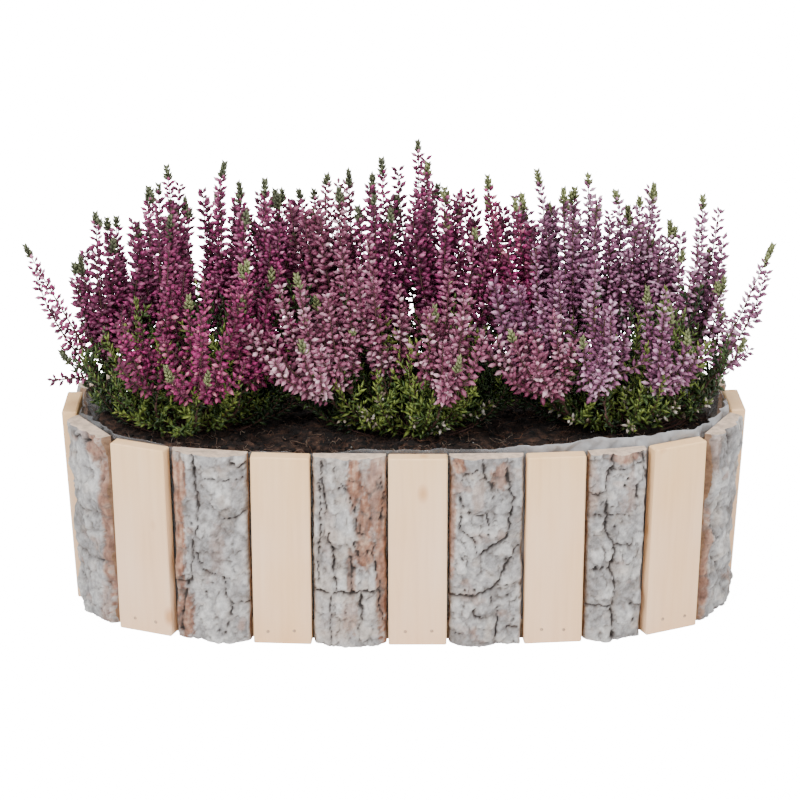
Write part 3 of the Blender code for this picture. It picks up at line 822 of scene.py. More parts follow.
def tinted_look(name, roughness, scale, depth, relief, low=0.25, high=0.75):
    """Vertex tint broken up by noise between two of its levels, with a fine relief."""
    look = Look(name, roughness)
    grain = look.noise(look.place(), scale, 6, 0.7)
    grey = look.ramp(grain, (low, (1 - depth,) * 3), (high, (1 + depth * 0.4,) * 3))
    look.paint(look.mix(look.tint(), grey))
    look.bump(grain, relief)
    return look.made


def wood_look():
    """Planed softwood: pinkish cream, yellower towards the top, faint grain and knots."""
    look = Look("planed_wood", 0.6)
    chance = look.node("ObjectInfo").outputs["Random"]
    shift = look.node("VectorMath", {0: chance, 3: 7.3}, operation="SCALE").outputs[0]
    fine = look.noise(look.place((260, 260, 6), shift), 1.0, 5)
    patch = look.noise(look.place((26, 26, 9), shift), 1.0, 2)
    grain = look.ramp(fine, (0.28, (0.92, 0.610, 0.385)), (0.50, (0.97, 0.655, 0.420)),
                      (0.72, (0.99, 0.690, 0.465)))
    stain = look.ramp(patch, (0.35, (1.0, 1.0, 1.0)), (0.72, (0.96, 0.88, 0.70)))
    colour = look.mix(grain, stain)
    height = look.node("SeparateXYZ", {0: look.node("TexCoord").outputs["Object"]}).outputs[2]
    high = look.node("MapRange", {0: height, 1: 0.060, 2: HEIGHT}).outputs[0]
    colour = look.mix(colour, look.mix(colour, (1.0, 0.97, 0.82)), high, "MIX")
    knots = look.node("TexVoronoi", {"Vector": look.place((36, 36, 20), shift),
                                     "Scale": 1.0}).outputs["Distance"]
    knot = look.ramp(knots, (0.045, (0.66, 0.47, 0.31)), (0.15, (1.0, 1.0, 1.0)))
    look.paint(look.mix(colour, knot, 0.85))
    look.bump(fine, 0.0002, 0.5)
    return look.made


def film_look():
    """Cloudy see-through film with a soft sheen."""
    look = Look("plastic_film", 0.22)
    cloud = look.noise(look.place(), 55, 4)
    grey = look.ramp(cloud, (0.3, (0.34, 0.34, 0.35)), (0.7, (0.66, 0.67, 0.69)))
    look.paint(look.mix(look.tint(), grey))
    look.bump(look.noise(look.place(), 240, 3), 0.0010, 0.8)
    look.shader.inputs["Alpha"].default_value = 0.5
    look.shader.inputs["Specular IOR Level"].default_value = 0.6
    return look.made


def board_look():
    look = Look("board_wood", 0.7)
    grain = look.noise(look.place((12, 260, 260)), 1.0, 5)
    look.paint(look.ramp(grain, (0.3, (0.32, 0.21, 0.12)), (0.7, (0.62, 0.46, 0.30))))
    look.bump(grain, 0.0003)
    return look.made


def nail_look():
    look = Look("nail_steel", 0.5)
    cloud = look.noise(look.place(), 900, 3)
    look.paint(look.ramp(cloud, (0.3, (0.36, 0.24, 0.16)), (0.7, (0.62, 0.44, 0.31))))
    look.shader.inputs["Metallic"].default_value = 0.5
    return look.made


PLANT_LOOKS = [tinted_look("bud", 0.5, 700, 0.22, 0.0002),
               tinted_look("small_leaf", 0.5, 900, 0.25, 0.0001),
               tinted_look("twig", 0.7, 1200, 0.35, 0.0002)]
BARK_LOOK = tinted_look("bark_skin", 0.9, 240, 0.30, 0.0014, 0.38, 0.60)
SOIL_LOOK = tinted_look("peat", 1.0, 330, 0.75, 0.0035, 0.36, 0.62)
FILM_LOOK = film_look()
NAIL_LOOK = nail_look()


# Planter pieces

# What each slat's bark shows, from the photo, in percent of the slat: cracks as rows of
# across, height, across, height and so on, holes as (across, height), and patches of bare
# brown as (across, height, half width, half height, strength). The slats at the back share
# the plain marks, each with its cracks moved across.
BARK_MARKS = {
    "bark_slat_11": (
        ((30, 100, 31, 88, 35, 71, 35, 62, 26, 55, 27, 47, 22, 31),
         (38, 65, 73, 65, 87, 68, 99, 71), (40, 88, 67, 87, 96, 88), (81, 96, 90, 94, 98, 95),
         (67, 35, 69, 25, 78, 22, 76, 14, 70, 5), (78, 21, 101, 21), (3, 30, 19, 31, 11, 21, 8, 5),
         (28, 55, 34, 44, 44, 37, 68, 36)),
        ((52, 32), (42, 26), (61, 7), (69, 6), (27, 64)),
        ((6, 60, 9, 45, 1.0), (12, 85, 8, 12, 1.3), (12, 12, 13, 14, 1.0), (60, 50, 10, 14, 0.25))),
    "bark_slat_10": (
        ((30, 93, 53, 97, 74, 96), (2, 32, 36, 34, 54, 32, 94, 33), (13, 19, 30, 16),
         (71, 57, 78, 60), (2, 56, 33, 57, 68, 56), (31, 85, 32, 81), (3, 70, 20, 69)),
        ((32, 85), (8, 46)),
        ((95, 55, 9, 45, 0.9), (85, 92, 18, 8, 0.9), (85, 8, 12, 12, 0.5))),
    "bark_slat_12": (
        ((13, 98, 15, 81, 19, 67, 21, 57, 30, 52, 27, 43, 30, 31),
         (27, 95, 47, 81, 59, 71, 60, 61, 70, 60), (84, 56, 83, 48, 89, 34, 90, 19, 98, 10),
         (0, 29, 34, 29, 84, 29), (24, 28, 24, 10, 23, 1), (55, 57, 63, 48, 81, 51),
         (52, 48, 51, 30), (66, 61, 65, 67), (93, 90, 96, 79, 92, 67), (64, 28, 66, 18, 62, 8),
         (8, 90, 10, 60, 6, 35)),
        ((36, 85), (56, 41), (79, 68)),
        ((57, 88, 10, 16, 1.0), (70, 68, 11, 18, 1.1), (88, 80, 17, 26, 0.8), (72, 50, 14, 9, 1.2),
         (52, 40, 6, 14, 0.8), (95, 45, 9, 42, 1.2), (50, 16, 11, 10, 0.5), (20, 60, 12, 12, 0.25),
         (30, 10, 20, 8, 0.2))),
    "bark_slat_01": (
        ((46, 99, 45, 90, 58, 84), (35, 95, 16, 91, 13, 89),
         (14, 81, 16, 75, 15, 69, 13, 62, 27, 58, 37, 55, 37, 51),
         (0, 26, 25, 26, 45, 28, 64, 33, 72, 40, 79, 44, 96, 53), (64, 34, 95, 33),
         (57, 30, 59, 22), (78, 95, 81, 84, 86, 79, 81, 68, 79, 58, 44, 49),
         (24, 71, 40, 70, 51, 71, 59, 81), (51, 70, 54, 63), (35, 20, 35, 16, 49, 15),
         (2, 6, 18, 5), (65, 22, 65, 1), (79, 9, 100, 9)),
        ((14, 78), (18, 75), (15, 69), (78, 46), (34, 30), (21, 29), (80, 27), (17, 47), (53, 60)),
        ((12, 96, 9, 4, 1.1), (68, 90, 13, 7, 0.8), (3, 65, 5, 25, 0.8), (38, 82, 9, 9, 0.35))),
    "bark_slat_02": (
        ((37, 100, 38, 94, 29, 89, 27, 80, 30, 71, 29, 59, 44, 53, 46, 46, 41, 39, 47, 31, 49, 22,
          44, 17, 47, 2),
         (30, 92, 58, 92, 90, 94), (92, 100, 93, 91, 99, 86), (0, 79, 15, 79, 22, 81),
         (30, 68, 62, 67, 85, 65), (1, 38, 16, 39, 41, 38), (1, 19, 42, 19), (54, 19, 97, 18),
         (44, 52, 64, 51, 84, 50), (84, 83, 81, 76), (11, 68, 19, 67)),
        ((64, 87), (60, 83), (46, 61), (84, 10), (11, 68)),
        ((72, 80, 8, 12, 0.4), (6, 82, 9, 14, 0.35), (60, 98, 30, 3, 0.9))),
    "bark_slat_03": (
        ((34, 98, 37, 87), (49, 64, 25, 62, 20, 58), (41, 20, 22, 13, 22, 5), (51, 19, 57, 12),
         (11, 51, 17, 35, 40, 21), (83, 37, 94, 29), (91, 56, 79, 52)),
        ((74, 84), (92, 86), (19, 44), (11, 37), (96, 29)),
        ((3, 30, 7, 30, 0.9), (5, 90, 8, 10, 0.4))),
}
# Size of the plates between furrows, across and up, in mm, with the two slats that differ
PLAIN_PLATE = (9.0, 9.5)
PLATES = {"bark_slat_12": (6.5, 17.0), "bark_slat_11": (9.0, 14.0)}
# The one slat whose bark is mostly warm cream
WARM = {"bark_slat_12": 0.80}
# Columns and rows in the mesh of a slat that the photo shows, and of one at the back
FRONT_GRID, BACK_GRID = (54, 128), (26, 60)
PLAIN_MARKS = (((55, 99, 50, 70, 60, 40, 52, 5), (5, 62, 50, 60), (55, 33, 96, 30)), (),
               ((8, 60, 8, 40, 0.8),))
BARK_GREYS = ((0.20, 0.185, 0.178), (0.365, 0.358, 0.360), (0.60, 0.588, 0.575))
BARK_BROWNS = ((0.12, 0.050, 0.032), (0.33, 0.160, 0.100), (0.54, 0.36, 0.26))
# Near black for cracks and holes: painted shade in the crevices
PAINTED_CRACK_SHADE = (0.045, 0.036, 0.032)
BARK_CUT = (0.66, 0.50, 0.38)
BARK_CREAM = (0.58, 0.49, 0.41)
# Painted shade for the bark's grooves, hair cracks and furrows
BARK_SHADE = (0.17, 0.145, 0.13)
BARK_SIDE = (0.20, 0.13, 0.09)
BARK_BACK = (0.30, 0.19, 0.12)
# A nail head's outline as radius and height over the wood, in mm
NAIL_RINGS = ((0.0, 0.0), (0.8, 0.0), (1.0, 0.12), (0.75, 0.28), (0.0, 0.32))
NAIL_SIDES = 10
NAIL_SHARES = (0.28, 0.72)
NAIL_HEIGHT = 0.0085


def far_from(x, y, line):
    """Distance of each point from a line of several segments."""
    nearest = np.full(len(x), 99.0)
    for (ax, ay), (bx, by) in zip(line[:-1], line[1:]):
        dx, dy = bx - ax, by - ay
        share = clip01(((x - ax) * dx + (y - ay) * dy) / (dx * dx + dy * dy + 1e-9))
        nearest = np.minimum(nearest, np.hypot(x - ax - share * dx, y - ay - share * dy))
    return nearest


def bark_piece(name, frame, seed):
    """A bark slab on the solid's own relief, with cracks, pillowed plates, ledges and holes; its
    cracks, holes, grooves and furrows carry painted shade.
    """
    width, tall = frame[3] / MM, HEIGHT / MM
    seen = name in BARK_MARKS
    columns, rows = FRONT_GRID if seen else BACK_GRID
    lines, holes, patches = BARK_MARKS.get(name, PLAIN_MARKS)
    shift = 0 if seen else random.Random(name).uniform(-38, 38)
    offset = Vector((seed * 3.7, seed * 1.9, 0))

    share = np.tile(np.linspace(0, 1, columns + 1), rows + 1)
    z = np.repeat(np.linspace(0, HEIGHT, rows + 1), columns + 1)
    base = np.array([max(-1.0, min(1.0, noise.noise(Vector((s * 2.6, h * 55, 0)) + offset) * 2.2))
                     for s, h in zip(share, z)])
    across, up = share * width, z / MM
    spot = np.column_stack([across, up, np.full(len(up), seed * 31.0)])
    wander = rough_noise(spot * 0.40, seed + 2) * 2.0
    wander_up = rough_noise(spot * 0.40 + 40, seed + 4) * 2.0
    fine = rough_noise(spot * 0.55, seed + 7)
    grit = rough_noise(spot * 1.6, seed + 8, 2)
    breaks = rough_noise(spot * 0.24 + 25, seed + 6, 3)
    crack, groove = np.zeros(len(share)), np.zeros(len(share))
    for k, line in enumerate(lines):
        deep = k % 3 == 0
        line = [((a + shift) * width / 100, h * tall / 100)
                for a, h in zip(line[::2], line[1::2])]
        apart = far_from(across + wander, up + wander_up, line)
        thick = (0.22 + 0.30 * deep) * (1 + 1.9 * breaks)
        crack = np.maximum(crack, clip01(1.5 - apart / np.maximum(thick, 0.12))
                           * clip01(1.3 + 1.6 * breaks))
        groove = np.maximum(groove, np.exp(-apart / (1.7 + 0.6 * deep))
                            * np.clip(1.0 + 0.8 * breaks, 0.2, 1))
    for a, h in holes:
        apart = np.hypot(across - a * width / 100, up - h * tall / 100)
        crack = np.maximum(crack, clip01(1.7 - apart / 0.75))
    plate_wide, plate_high = PLATES.get(name, PLAIN_PLATE)
    edge, plate = cracks((across + wander * 1.5) / plate_wide,
                         (up + wander_up * 1.5) / plate_high, seed)
    small, chip = cracks((across + wander) / 3.1, (up + wander_up) / 3.6, seed + 40)
    hair = np.maximum(clip01(1 - edge / 0.08) * clip01(0.35 + breaks * 2.5),
                      clip01(1 - small / 0.10) * clip01(breaks * 2.6 - 0.1) * 0.7)
    lumps = rough_noise(spot * np.array([0.16, 0.12, 1]), seed + 13, 3)
    rim = np.minimum(share, 1 - share) * width
    bare = np.zeros(len(share))
    for a, h, wide, high, strength in patches:
        far = np.hypot((share * 100 - a) / wide, (z / HEIGHT * 100 - h) / high)
        bare = np.maximum(bare, clip01((1.25 - far - 0.5 * fine) * 2.2) * strength)
    flake = clip01((rough_noise(spot * 0.10, seed + 31) - 0.30) * 4) * 0.5
    bare = clip01(np.maximum(bare, flake))
    furrow = np.exp(-edge / 0.13) * clip01(0.75 + 0.9 * breaks)
    relief = (base * BARK_RELIEF * 0.8 + lumps * 0.0016
              + (plate - 0.5) * 0.0016 * clip01(edge / 0.22) + (chip - 0.5) * 0.0004
              + fine * 0.0005 + grit * 0.00020 - groove * 0.0016 - crack * 0.0014
              - hair * 0.0007 - furrow * 0.0013 - bare * 0.0009)
    crown = BARK_CROWN * (1 - (2 * share - 1) ** 2) ** 0.7
    out = BARK_EDGE + crown + relief - clip01(1 - rim / 1.6) ** 2 * 0.0020
    out = out - clip01((z - HEIGHT + 0.003) / 0.003) * 0.0010 * (0.6 + 0.4 * fine)
    jag = 0.0004 * (1 + fine)
    left, right = ([BARK_RAGGED * abs(noise.noise(Vector((side * 5.0, h / HEIGHT * 9 * 0.8,
                                                          seed * 2.3)))) for h in z]
                   for side in (0, 1))
    left, right = np.array(left) + jag, width * MM - np.array(right) - jag
    spans = left + (right - left) * share
    points = np.column_stack([slat_point(frame, spans, np.maximum(out, 0.003), z), z])

    broad = rough_noise(spot * 0.07 + 9, seed + 21)
    tint = mixed_tints(BARK_GREYS, clip01(
        0.59 + 0.65 * broad + 0.55 * (plate - 0.5) + 0.25 * (chip - 0.5) + 0.35 * fine
        + 0.15 * grit))
    cream = clip01(rough_noise(spot * 0.13 + 70, seed + 23) * 2.2 - 0.25 + WARM.get(name, 0))
    brown = mixed_tints(BARK_BROWNS, clip01(0.50 + 0.75 * rough_noise(
        spot * np.array([0.5, 0.12, 1]), seed + 27) + 0.3 * fine))
    # Painted shade: grooves, hair cracks and plate furrows darkened towards BARK_SHADE, for a
    # pillowed look.
    shade = np.clip(0.70 * groove ** 1.4 + 0.55 * hair + 0.50 * furrow, 0, 0.8)
    # The crack tint paints shade into cracks and holes; cream and bare brown are the bark's own
    # colour.
    for colour, part in ((BARK_CREAM, cream * 0.5), (brown, bare), (BARK_SHADE, shade),
                         (PAINTED_CRACK_SHADE, clip01(crack * (1.25 + 0.5 * fine)) * 0.95),
                         (BARK_SIDE, clip01(1 - rim / 0.9) * 0.45)):
        tint = blend(tint, colour, part)

    pitch = columns + 1
    batch = Batch()
    batch.add(points, grid_faces(rows + 1, pitch), tint)
    for picked, colour, flip in ((slice(0, None, pitch), BARK_BACK, False),
                                 (slice(columns, None, pitch), BARK_BACK, True),
                                 (slice(0, pitch), BARK_CUT, True),
                                 (slice(rows * pitch, None), BARK_CUT, False)):
        front, height = points[picked], z[picked]
        back = np.column_stack([slat_point(frame, spans[picked], 0, height), height])
        add_strip(batch, front, back, colour, flip)
    corners = points[[0, columns, rows * pitch, rows * pitch + columns]]
    ends, heights = np.array([left[0], right[0], left[-1], right[-1]]), corners[:, 2:]
    corners = np.hstack([slat_point(frame, ends, 0, heights[:, 0]), heights])
    batch.add(corners, [(0, 2, 3), (0, 3, 1)], BARK_BACK)
    batch.build(name + "_bark", [BARK_LOOK], (name,))


def add_strip(batch, one, two, tint, flip):
    """Quads between two equally long lines of points."""
    faces = grid_faces(2, len(one))
    batch.add(np.vstack([one, two]), faces[:, ::-1] if flip else faces, tint)


def nails(frames):
    """Two domed nail heads at the foot of each planed slat."""
    batch = Batch()
    chance = random.Random(5)
    turns = 2 * math.pi * np.arange(NAIL_SIDES) / NAIL_SIDES
    radius, proud = (np.repeat(part, NAIL_SIDES) * MM for part in zip(*NAIL_RINGS))
    across = radius * np.tile(np.cos(turns), len(NAIL_RINGS))
    up = radius * np.tile(np.sin(turns), len(NAIL_RINGS))
    for frame in frames[::2]:
        for share in NAIL_SHARES:
            along = frame[3] * (share + chance.uniform(-0.04, 0.04))
            z = NAIL_HEIGHT + chance.uniform(-0.0008, 0.0008)
            flat = slat_point(frame, along + across, WOOD_THICK + proud, z)
            batch.add(np.column_stack([flat, z + up]),
                      grid_faces(len(NAIL_RINGS), NAIL_SIDES, True), (0.3, 0.3, 0.3))
    batch.build("nails", [NAIL_LOOK])


FILM_AROUND = 560
FILM_LEVELS = 20
# How far the film's rim stands over the slats along the front, from the photo, in mm
FRONT_RIM = ((-200, 1.0), (-150, 0.6), (-110, -0.8), (-50, 0.3), (-20, 2.0), (25, 2.8), (50, 1.6),
             (85, 3.6), (112, 7.4), (118, 5.6), (160, 4.6), (180, 3.0), (200, 6.0))


def film_piece(frames):
    """Crumpled film from the board up to a wavy rim by the slats' tops."""
    brim = HEIGHT - 0.002
    foot = wall_ring(frames, brim, CLEAR, FILM_AROUND)
    front = foot[:, 1] < 0
    turn = np.arctan2(foot[:, 1] / DEPTH, foot[:, 0] / LENGTH)
    round_way = np.column_stack([np.cos(turn) * 3, np.sin(turn) * 3, turn * 0])
    wave = 0.0014 * rough_noise(round_way * 2.5, 3) + 0.0008 * rough_noise(round_way * 9, 5)
    along = np.interp(foot[:, 0] / MM, *zip(*FRONT_RIM)) * MM
    rise = wave + np.where(front, along, 0.0025) + 0.0015
    right = clip01((foot[:, 0] - 0.035) / 0.05)
    end = clip01((np.abs(foot[:, 0]) - 0.15) / 0.03)
    slack = np.where(front, 0.25 + 0.75 * np.maximum(right, end), 0.8)
    # Painted light on the film: its tint is painted shade at the front left, rising to a painted
    # highlight towards the right, and 0.75 at the back.
    shade = np.where(front, 0.38 + 0.80 * right, 0.75)
    levels = [BOARD_THICK + CLEAR, 0.055, SOIL_TOP - 0.008]
    levels += list(np.linspace(SOIL_TOP - 0.006, brim, FILM_LEVELS - 9)) + [brim] * 6
    rows = []
    for k, z in enumerate(levels):
        part = min(max((z - SOIL_TOP + 0.002) / 0.006, 0.0), 1.0)
        over = max(0.0, (k - FILM_LEVELS + 7) / 6)
        ring = wall_ring(frames, z, CLEAR if k < 3 else CLEAR + FILM, FILM_AROUND)
        height = np.full(FILM_AROUND, z) + rise * math.sin(over * math.pi / 2)
        inward = -unit(np.column_stack([ring[:, 0] * 0.35, ring[:, 1]]))
        spots = np.column_stack([ring / MM * 0.10, height / MM * 0.13])
        folds = 1 - 2 * np.abs(rough_noise(spots * np.array([0.8, 0.8, 0.35]), 13, 3))
        crumple = rough_noise(spots, 9) * 0.0014 + clip01(folds - 0.5) * 0.0050
        ring = ring + inward * (slack * (crumple * part + 0.0012 * over ** 2))[:, None]
        height = height + rough_noise(spots * 1.7, 17) * 0.0005 * over
        rows.append(np.column_stack([ring, height]))
    batch = Batch()
    # The film's tint carries that painted shade and highlight.
    batch.add(np.vstack(rows), grid_faces(len(rows), FILM_AROUND, True),
              np.tile(shade, len(rows))[:, None] * np.ones(3))
    batch.build("film_sheet", [FILM_LOOK], ("film_liner",))


SOIL_AROUND = 230
SOIL_RINGS = 44
CRUMBS, FLAKES, SPECKS, FIBRES = 1700, 420, 90, 1100
PEAT = ((0.004, 0.0025, 0.002), (0.024, 0.011, 0.007), (0.15, 0.078, 0.050))
FLAKE_BROWNS = ((0.05, 0.022, 0.014), (0.15, 0.070, 0.042), (0.34, 0.21, 0.14))
FIBRE_BROWNS = ((0.10, 0.042, 0.022), (0.17, 0.080, 0.045), (0.05, 0.025, 0.016),
                (0.05, 0.025, 0.016), (0.32, 0.20, 0.14), (0.42, 0.32, 0.24))
SPECK_WHITE = (0.72, 0.70, 0.66)


def soil_top(x, y):
    """Height of the peat: the solid's relief with crumbs on it."""
    broad = np.array([soil_height(float(a), float(b)) for a, b in zip(x, y)])
    spots = np.column_stack([x, y, x * 0]) / MM
    clods = 1 - 2 * np.abs(rough_noise(spots * 0.075, 49, 3))
    crumbs = rough_noise(spots * 0.28, 51) * 0.0018 + rough_noise(spots * 0.8, 57) * 0.0008
    return broad + 0.0005 + clods * 0.0022 + crumbs


def soil_piece(frames):
    """Peat down to the board, with crumbs, flakes, white specks and fibres on its top."""
    inside = 2 * CLEAR + FILM
    edge = wall_ring(frames, SOIL_TOP, inside, SOIL_AROUND)
    shares = np.linspace(0, 1, SOIL_RINGS + 1)[1:] ** 0.75
    flat = (edge[None] * shares[:, None, None]).reshape(-1, 2)
    points = np.column_stack([flat, soil_top(flat[:, 0], flat[:, 1])])
    points[-SOIL_AROUND:, 2] -= 0.001
    tone = clip01(0.52 + 1.1 * rough_noise(points / MM * 0.30, 61))
    batch = Batch()
    batch.add(points, grid_faces(SOIL_RINGS, SOIL_AROUND, True)[:, ::-1],
              mixed_tints(PEAT, tone))
    last = points[-SOIL_AROUND:]
    for z in (SOIL_TOP - 0.006, SOIL_TOP - 0.020, 0.055, BOARD_THICK + inside):
        ring = wall_ring(frames, z, inside, SOIL_AROUND)
        below = np.column_stack([ring, np.full(SOIL_AROUND, z)])
        add_strip(batch, *(np.vstack([part, part[:1]]) for part in (last, below)), PEAT[0],
                  False)
        last = below
    a = np.arange(SOIL_AROUND)
    b, hub = (a + 1) % SOIL_AROUND, np.full(SOIL_AROUND, SOIL_AROUND)
    batch.add(np.vstack([last, [[0, 0, last[0, 2]]]]), np.column_stack([hub, b, a]), PEAT[0])
    middle = soil_top(np.zeros(1), np.zeros(1))[0]
    batch.add(np.vstack([points[:SOIL_AROUND], [[0, 0, middle]]]),
              np.column_stack([hub, a, b]), PEAT[1])

    chance = random.Random(21)

    def scatter(count):
        pick = [chance.randrange(SOIL_AROUND) for _ in range(count)]
        reach = np.array([chance.random() ** 0.5 * 0.985 for _ in range(count)])
        x, y = (edge[pick] * reach[:, None]).T
        return np.column_stack([x, y, soil_top(x, y)])

    def ways(count, lift):
        turn = draws(chance, count, 0, 2 * math.pi)
        rise = gauss_draws(chance, count, lift)
        return unit(np.column_stack([np.cos(turn), np.sin(turn), rise]))

    size = draws(chance, CRUMBS, 0.0012, 0.0055)
    tint = mixed_tints(PEAT, draws(chance, CRUMBS, 0.0, 0.9))
    axes = ways(CRUMBS, 0.4)
    add_drops(batch, BUD_SHAPE, scatter(CRUMBS) - axes * size[:, None] * 0.4, axes, size,
              size * 0.75, tint * 0.7, tint, 0)
    size = draws(chance, FLAKES, 0.0010, 0.0034)
    tint = mixed_tints(FLAKE_BROWNS, draws(chance, FLAKES, 0.0, 1.0))
    add_drops(batch, LEAF_SHAPE, scatter(FLAKES) + (0, 0, 0.0006), ways(FLAKES, 0.5), size,
              size * 0.5, tint * 0.7, tint, 0, flat=0.4)
    size = draws(chance, SPECKS, 0.0008, 0.0017)
    tint = np.tile(SPECK_WHITE, (SPECKS, 1))
    add_drops(batch, BUD_SHAPE, scatter(SPECKS) + (0, 0, 0.0003), ways(SPECKS, 0.4), size,
              size * 0.9, tint * 0.8, tint, 0)
    for _ in range(FIBRES):
        start, way = scatter(1)[0], ways(1, 0.12)[0]
        length = chance.uniform(0.003, 0.011)
        bend = ways(1, 0.1)[0] * length * 0.5
        line = curve(start, start + way * length * 0.5 + bend, start + way * length, 5)
        line[:, 2] = soil_top(line[:, 0], line[:, 1]) + 0.0005 + draws(chance, 5, 0, 0.0022)
        shade = chance.choice(FIBRE_BROWNS)
        if np.all(np.abs(line[:, :2]) < np.abs(edge).max(axis=0) * 0.94):
            add_tube(batch, line, np.full(5, chance.uniform(0.00010, 0.00026)), shade, 0, 3)
    batch.build("peat_crumb", [SOIL_LOOK], ("soil",))


# Plants

# Colour and brightness of each plant's buds, and of the sprays that differ
PLAIN_TONES = {"left": ("magenta", 0.46), "middle": ("magenta", 0.46), "right": ("lilac", 0.54)}
# The low brightness of the left plant's front rose sprays is partly their own colour and partly
# painted shade over the front of the mass.
SPRAY_TONES = {
    "left_front_outer": ("rose", 0.24), "left_front": ("rose", 0.40),
    "left_front_inner": ("rose", 0.26), "left_far_arch": ("magenta", 0.45),
    "middle_front_left": ("mauve", 0.60), "middle_front": ("mauve", 0.46),
    "middle_front_low": ("mauve", 0.52), "middle_front_right": ("mauve", 0.46),
    "middle_left": ("mauve", 0.30), "right_inner": ("rose", 0.28),
    "right_front": ("mauve", 0.58), "right_front_inner": ("lilac", 0.50),
    "right_front_low": ("lilac", 0.56), "right_front_outer": ("lilac", 0.52),
}
# Sprays beside a gap: the way along X that they fill it, and with how many spikes
GAP_SPRAYS = {
    "left_outer": (1, 5), "left_tall": (1, 5), "left_inner": (1, 7), "left_front_inner": (1, 7),
    "middle_back_left": (-1, 7), "middle_left": (-1, 7), "middle_centre": (1, 6),
    "middle_front_left": (-1, 7), "middle_right": (1, 7), "middle_front_right": (1, 7),
    "right_inner": (-1, 7), "right_back": (1, 6), "right_front_inner": (-1, 7),
    "right_front": (-1, 7),
}


def spray_piece(name, plant, own):
    """The spikes of one spray, with companions beside them and filler spikes inside, set darker as
    painted shade.
    """
    chance = random.Random(name)
    tones, brightness = SPRAY_TONES.get(name, PLAIN_TONES[plant])
    tones = BUD_TONES[tones]
    front, arching = "front" in name, name in ARCHING
    fresh = plant == "right" or name == "middle_right" or front
    greens = TIP_GREENS["fresh" if fresh else "dark"]
    batch = Batch()
    for strand in own:
        line = smooth_line(strand.points, 48)
        bright = brightness + chance.uniform(-0.08, 0.08)
        low = strand.kind == "low"
        add_spike(batch, line, strand.bare(), low, tones, bright, greens, chance,
                  0.12 if arching else 0.0, 0.18 if front else 1.0)
        add_leaves(batch, line, 0.0, strand.bare() + 0.12, chance, 0.35)
        for _ in range(1 if arching or front else 2):
            apart = chance.uniform(0.007, 0.013)
            drop = chance.uniform(0.006, 0.018 if low else 0.030)
            # Companions are set 0.12 darker: painted shade for spikes that sit lower in the spray.
            add_spike(batch, companion(line, apart, drop, chance), 0.10, low, tones,
                      bright - 0.12, greens, chance, tipped=0.06 if front else 0.25)
        count = 0 if arching else 1 if low else 3 if "back" in name else 2
        for apart, drop in ((0.014, 0.020), (0.010, 0.045), (0.018, 0.030))[:count]:
            apart *= chance.uniform(0.6, 1.4)
            drop *= chance.uniform(0.8, 1.4)
            # Filler spikes inside are set 0.32 darker: painted shade in the depth of the spray.
            add_spike(batch, companion(line, apart, drop, chance, 0.012), 0.08, False, tones,
                      bright - 0.32, greens, chance, filling=True)
    gap_way, gap_count = GAP_SPRAYS.get(name, (0, 0))
    for _ in range(gap_count):
        line = smooth_line(chance.choice(own).points, 36)
        fork = line[chance.randint(1, 5)]
        end = line[-1] + np.array([gap_way * chance.uniform(0.006, 0.024),
                                   chance.uniform(-0.010, 0.022), -chance.uniform(0.008, 0.055)])
        end[2] = max(end[2], 0.166 + chance.uniform(0, 0.015))
        # Spikes filling a gap are set 0.12 darker: painted shade between the plants.
        add_spike(batch, bent(fork, end, 0.85, 0.4, 36), 0.10, False, tones, brightness - 0.12,
                  greens, chance, filling=True)
    batch.build(name + "_flowers", PLANT_LOOKS, (name,))


FILL_SHOOTS = 34
OUTER_SHOOTS = 18
CORE_SHOOTS = 26
GAP_SHOOTS = 14
# Places along X where a plant reaches out to close the gap to the next one
GAPS = {"left": (-0.066,), "middle": (-0.066, 0.050), "right": (0.050,)}


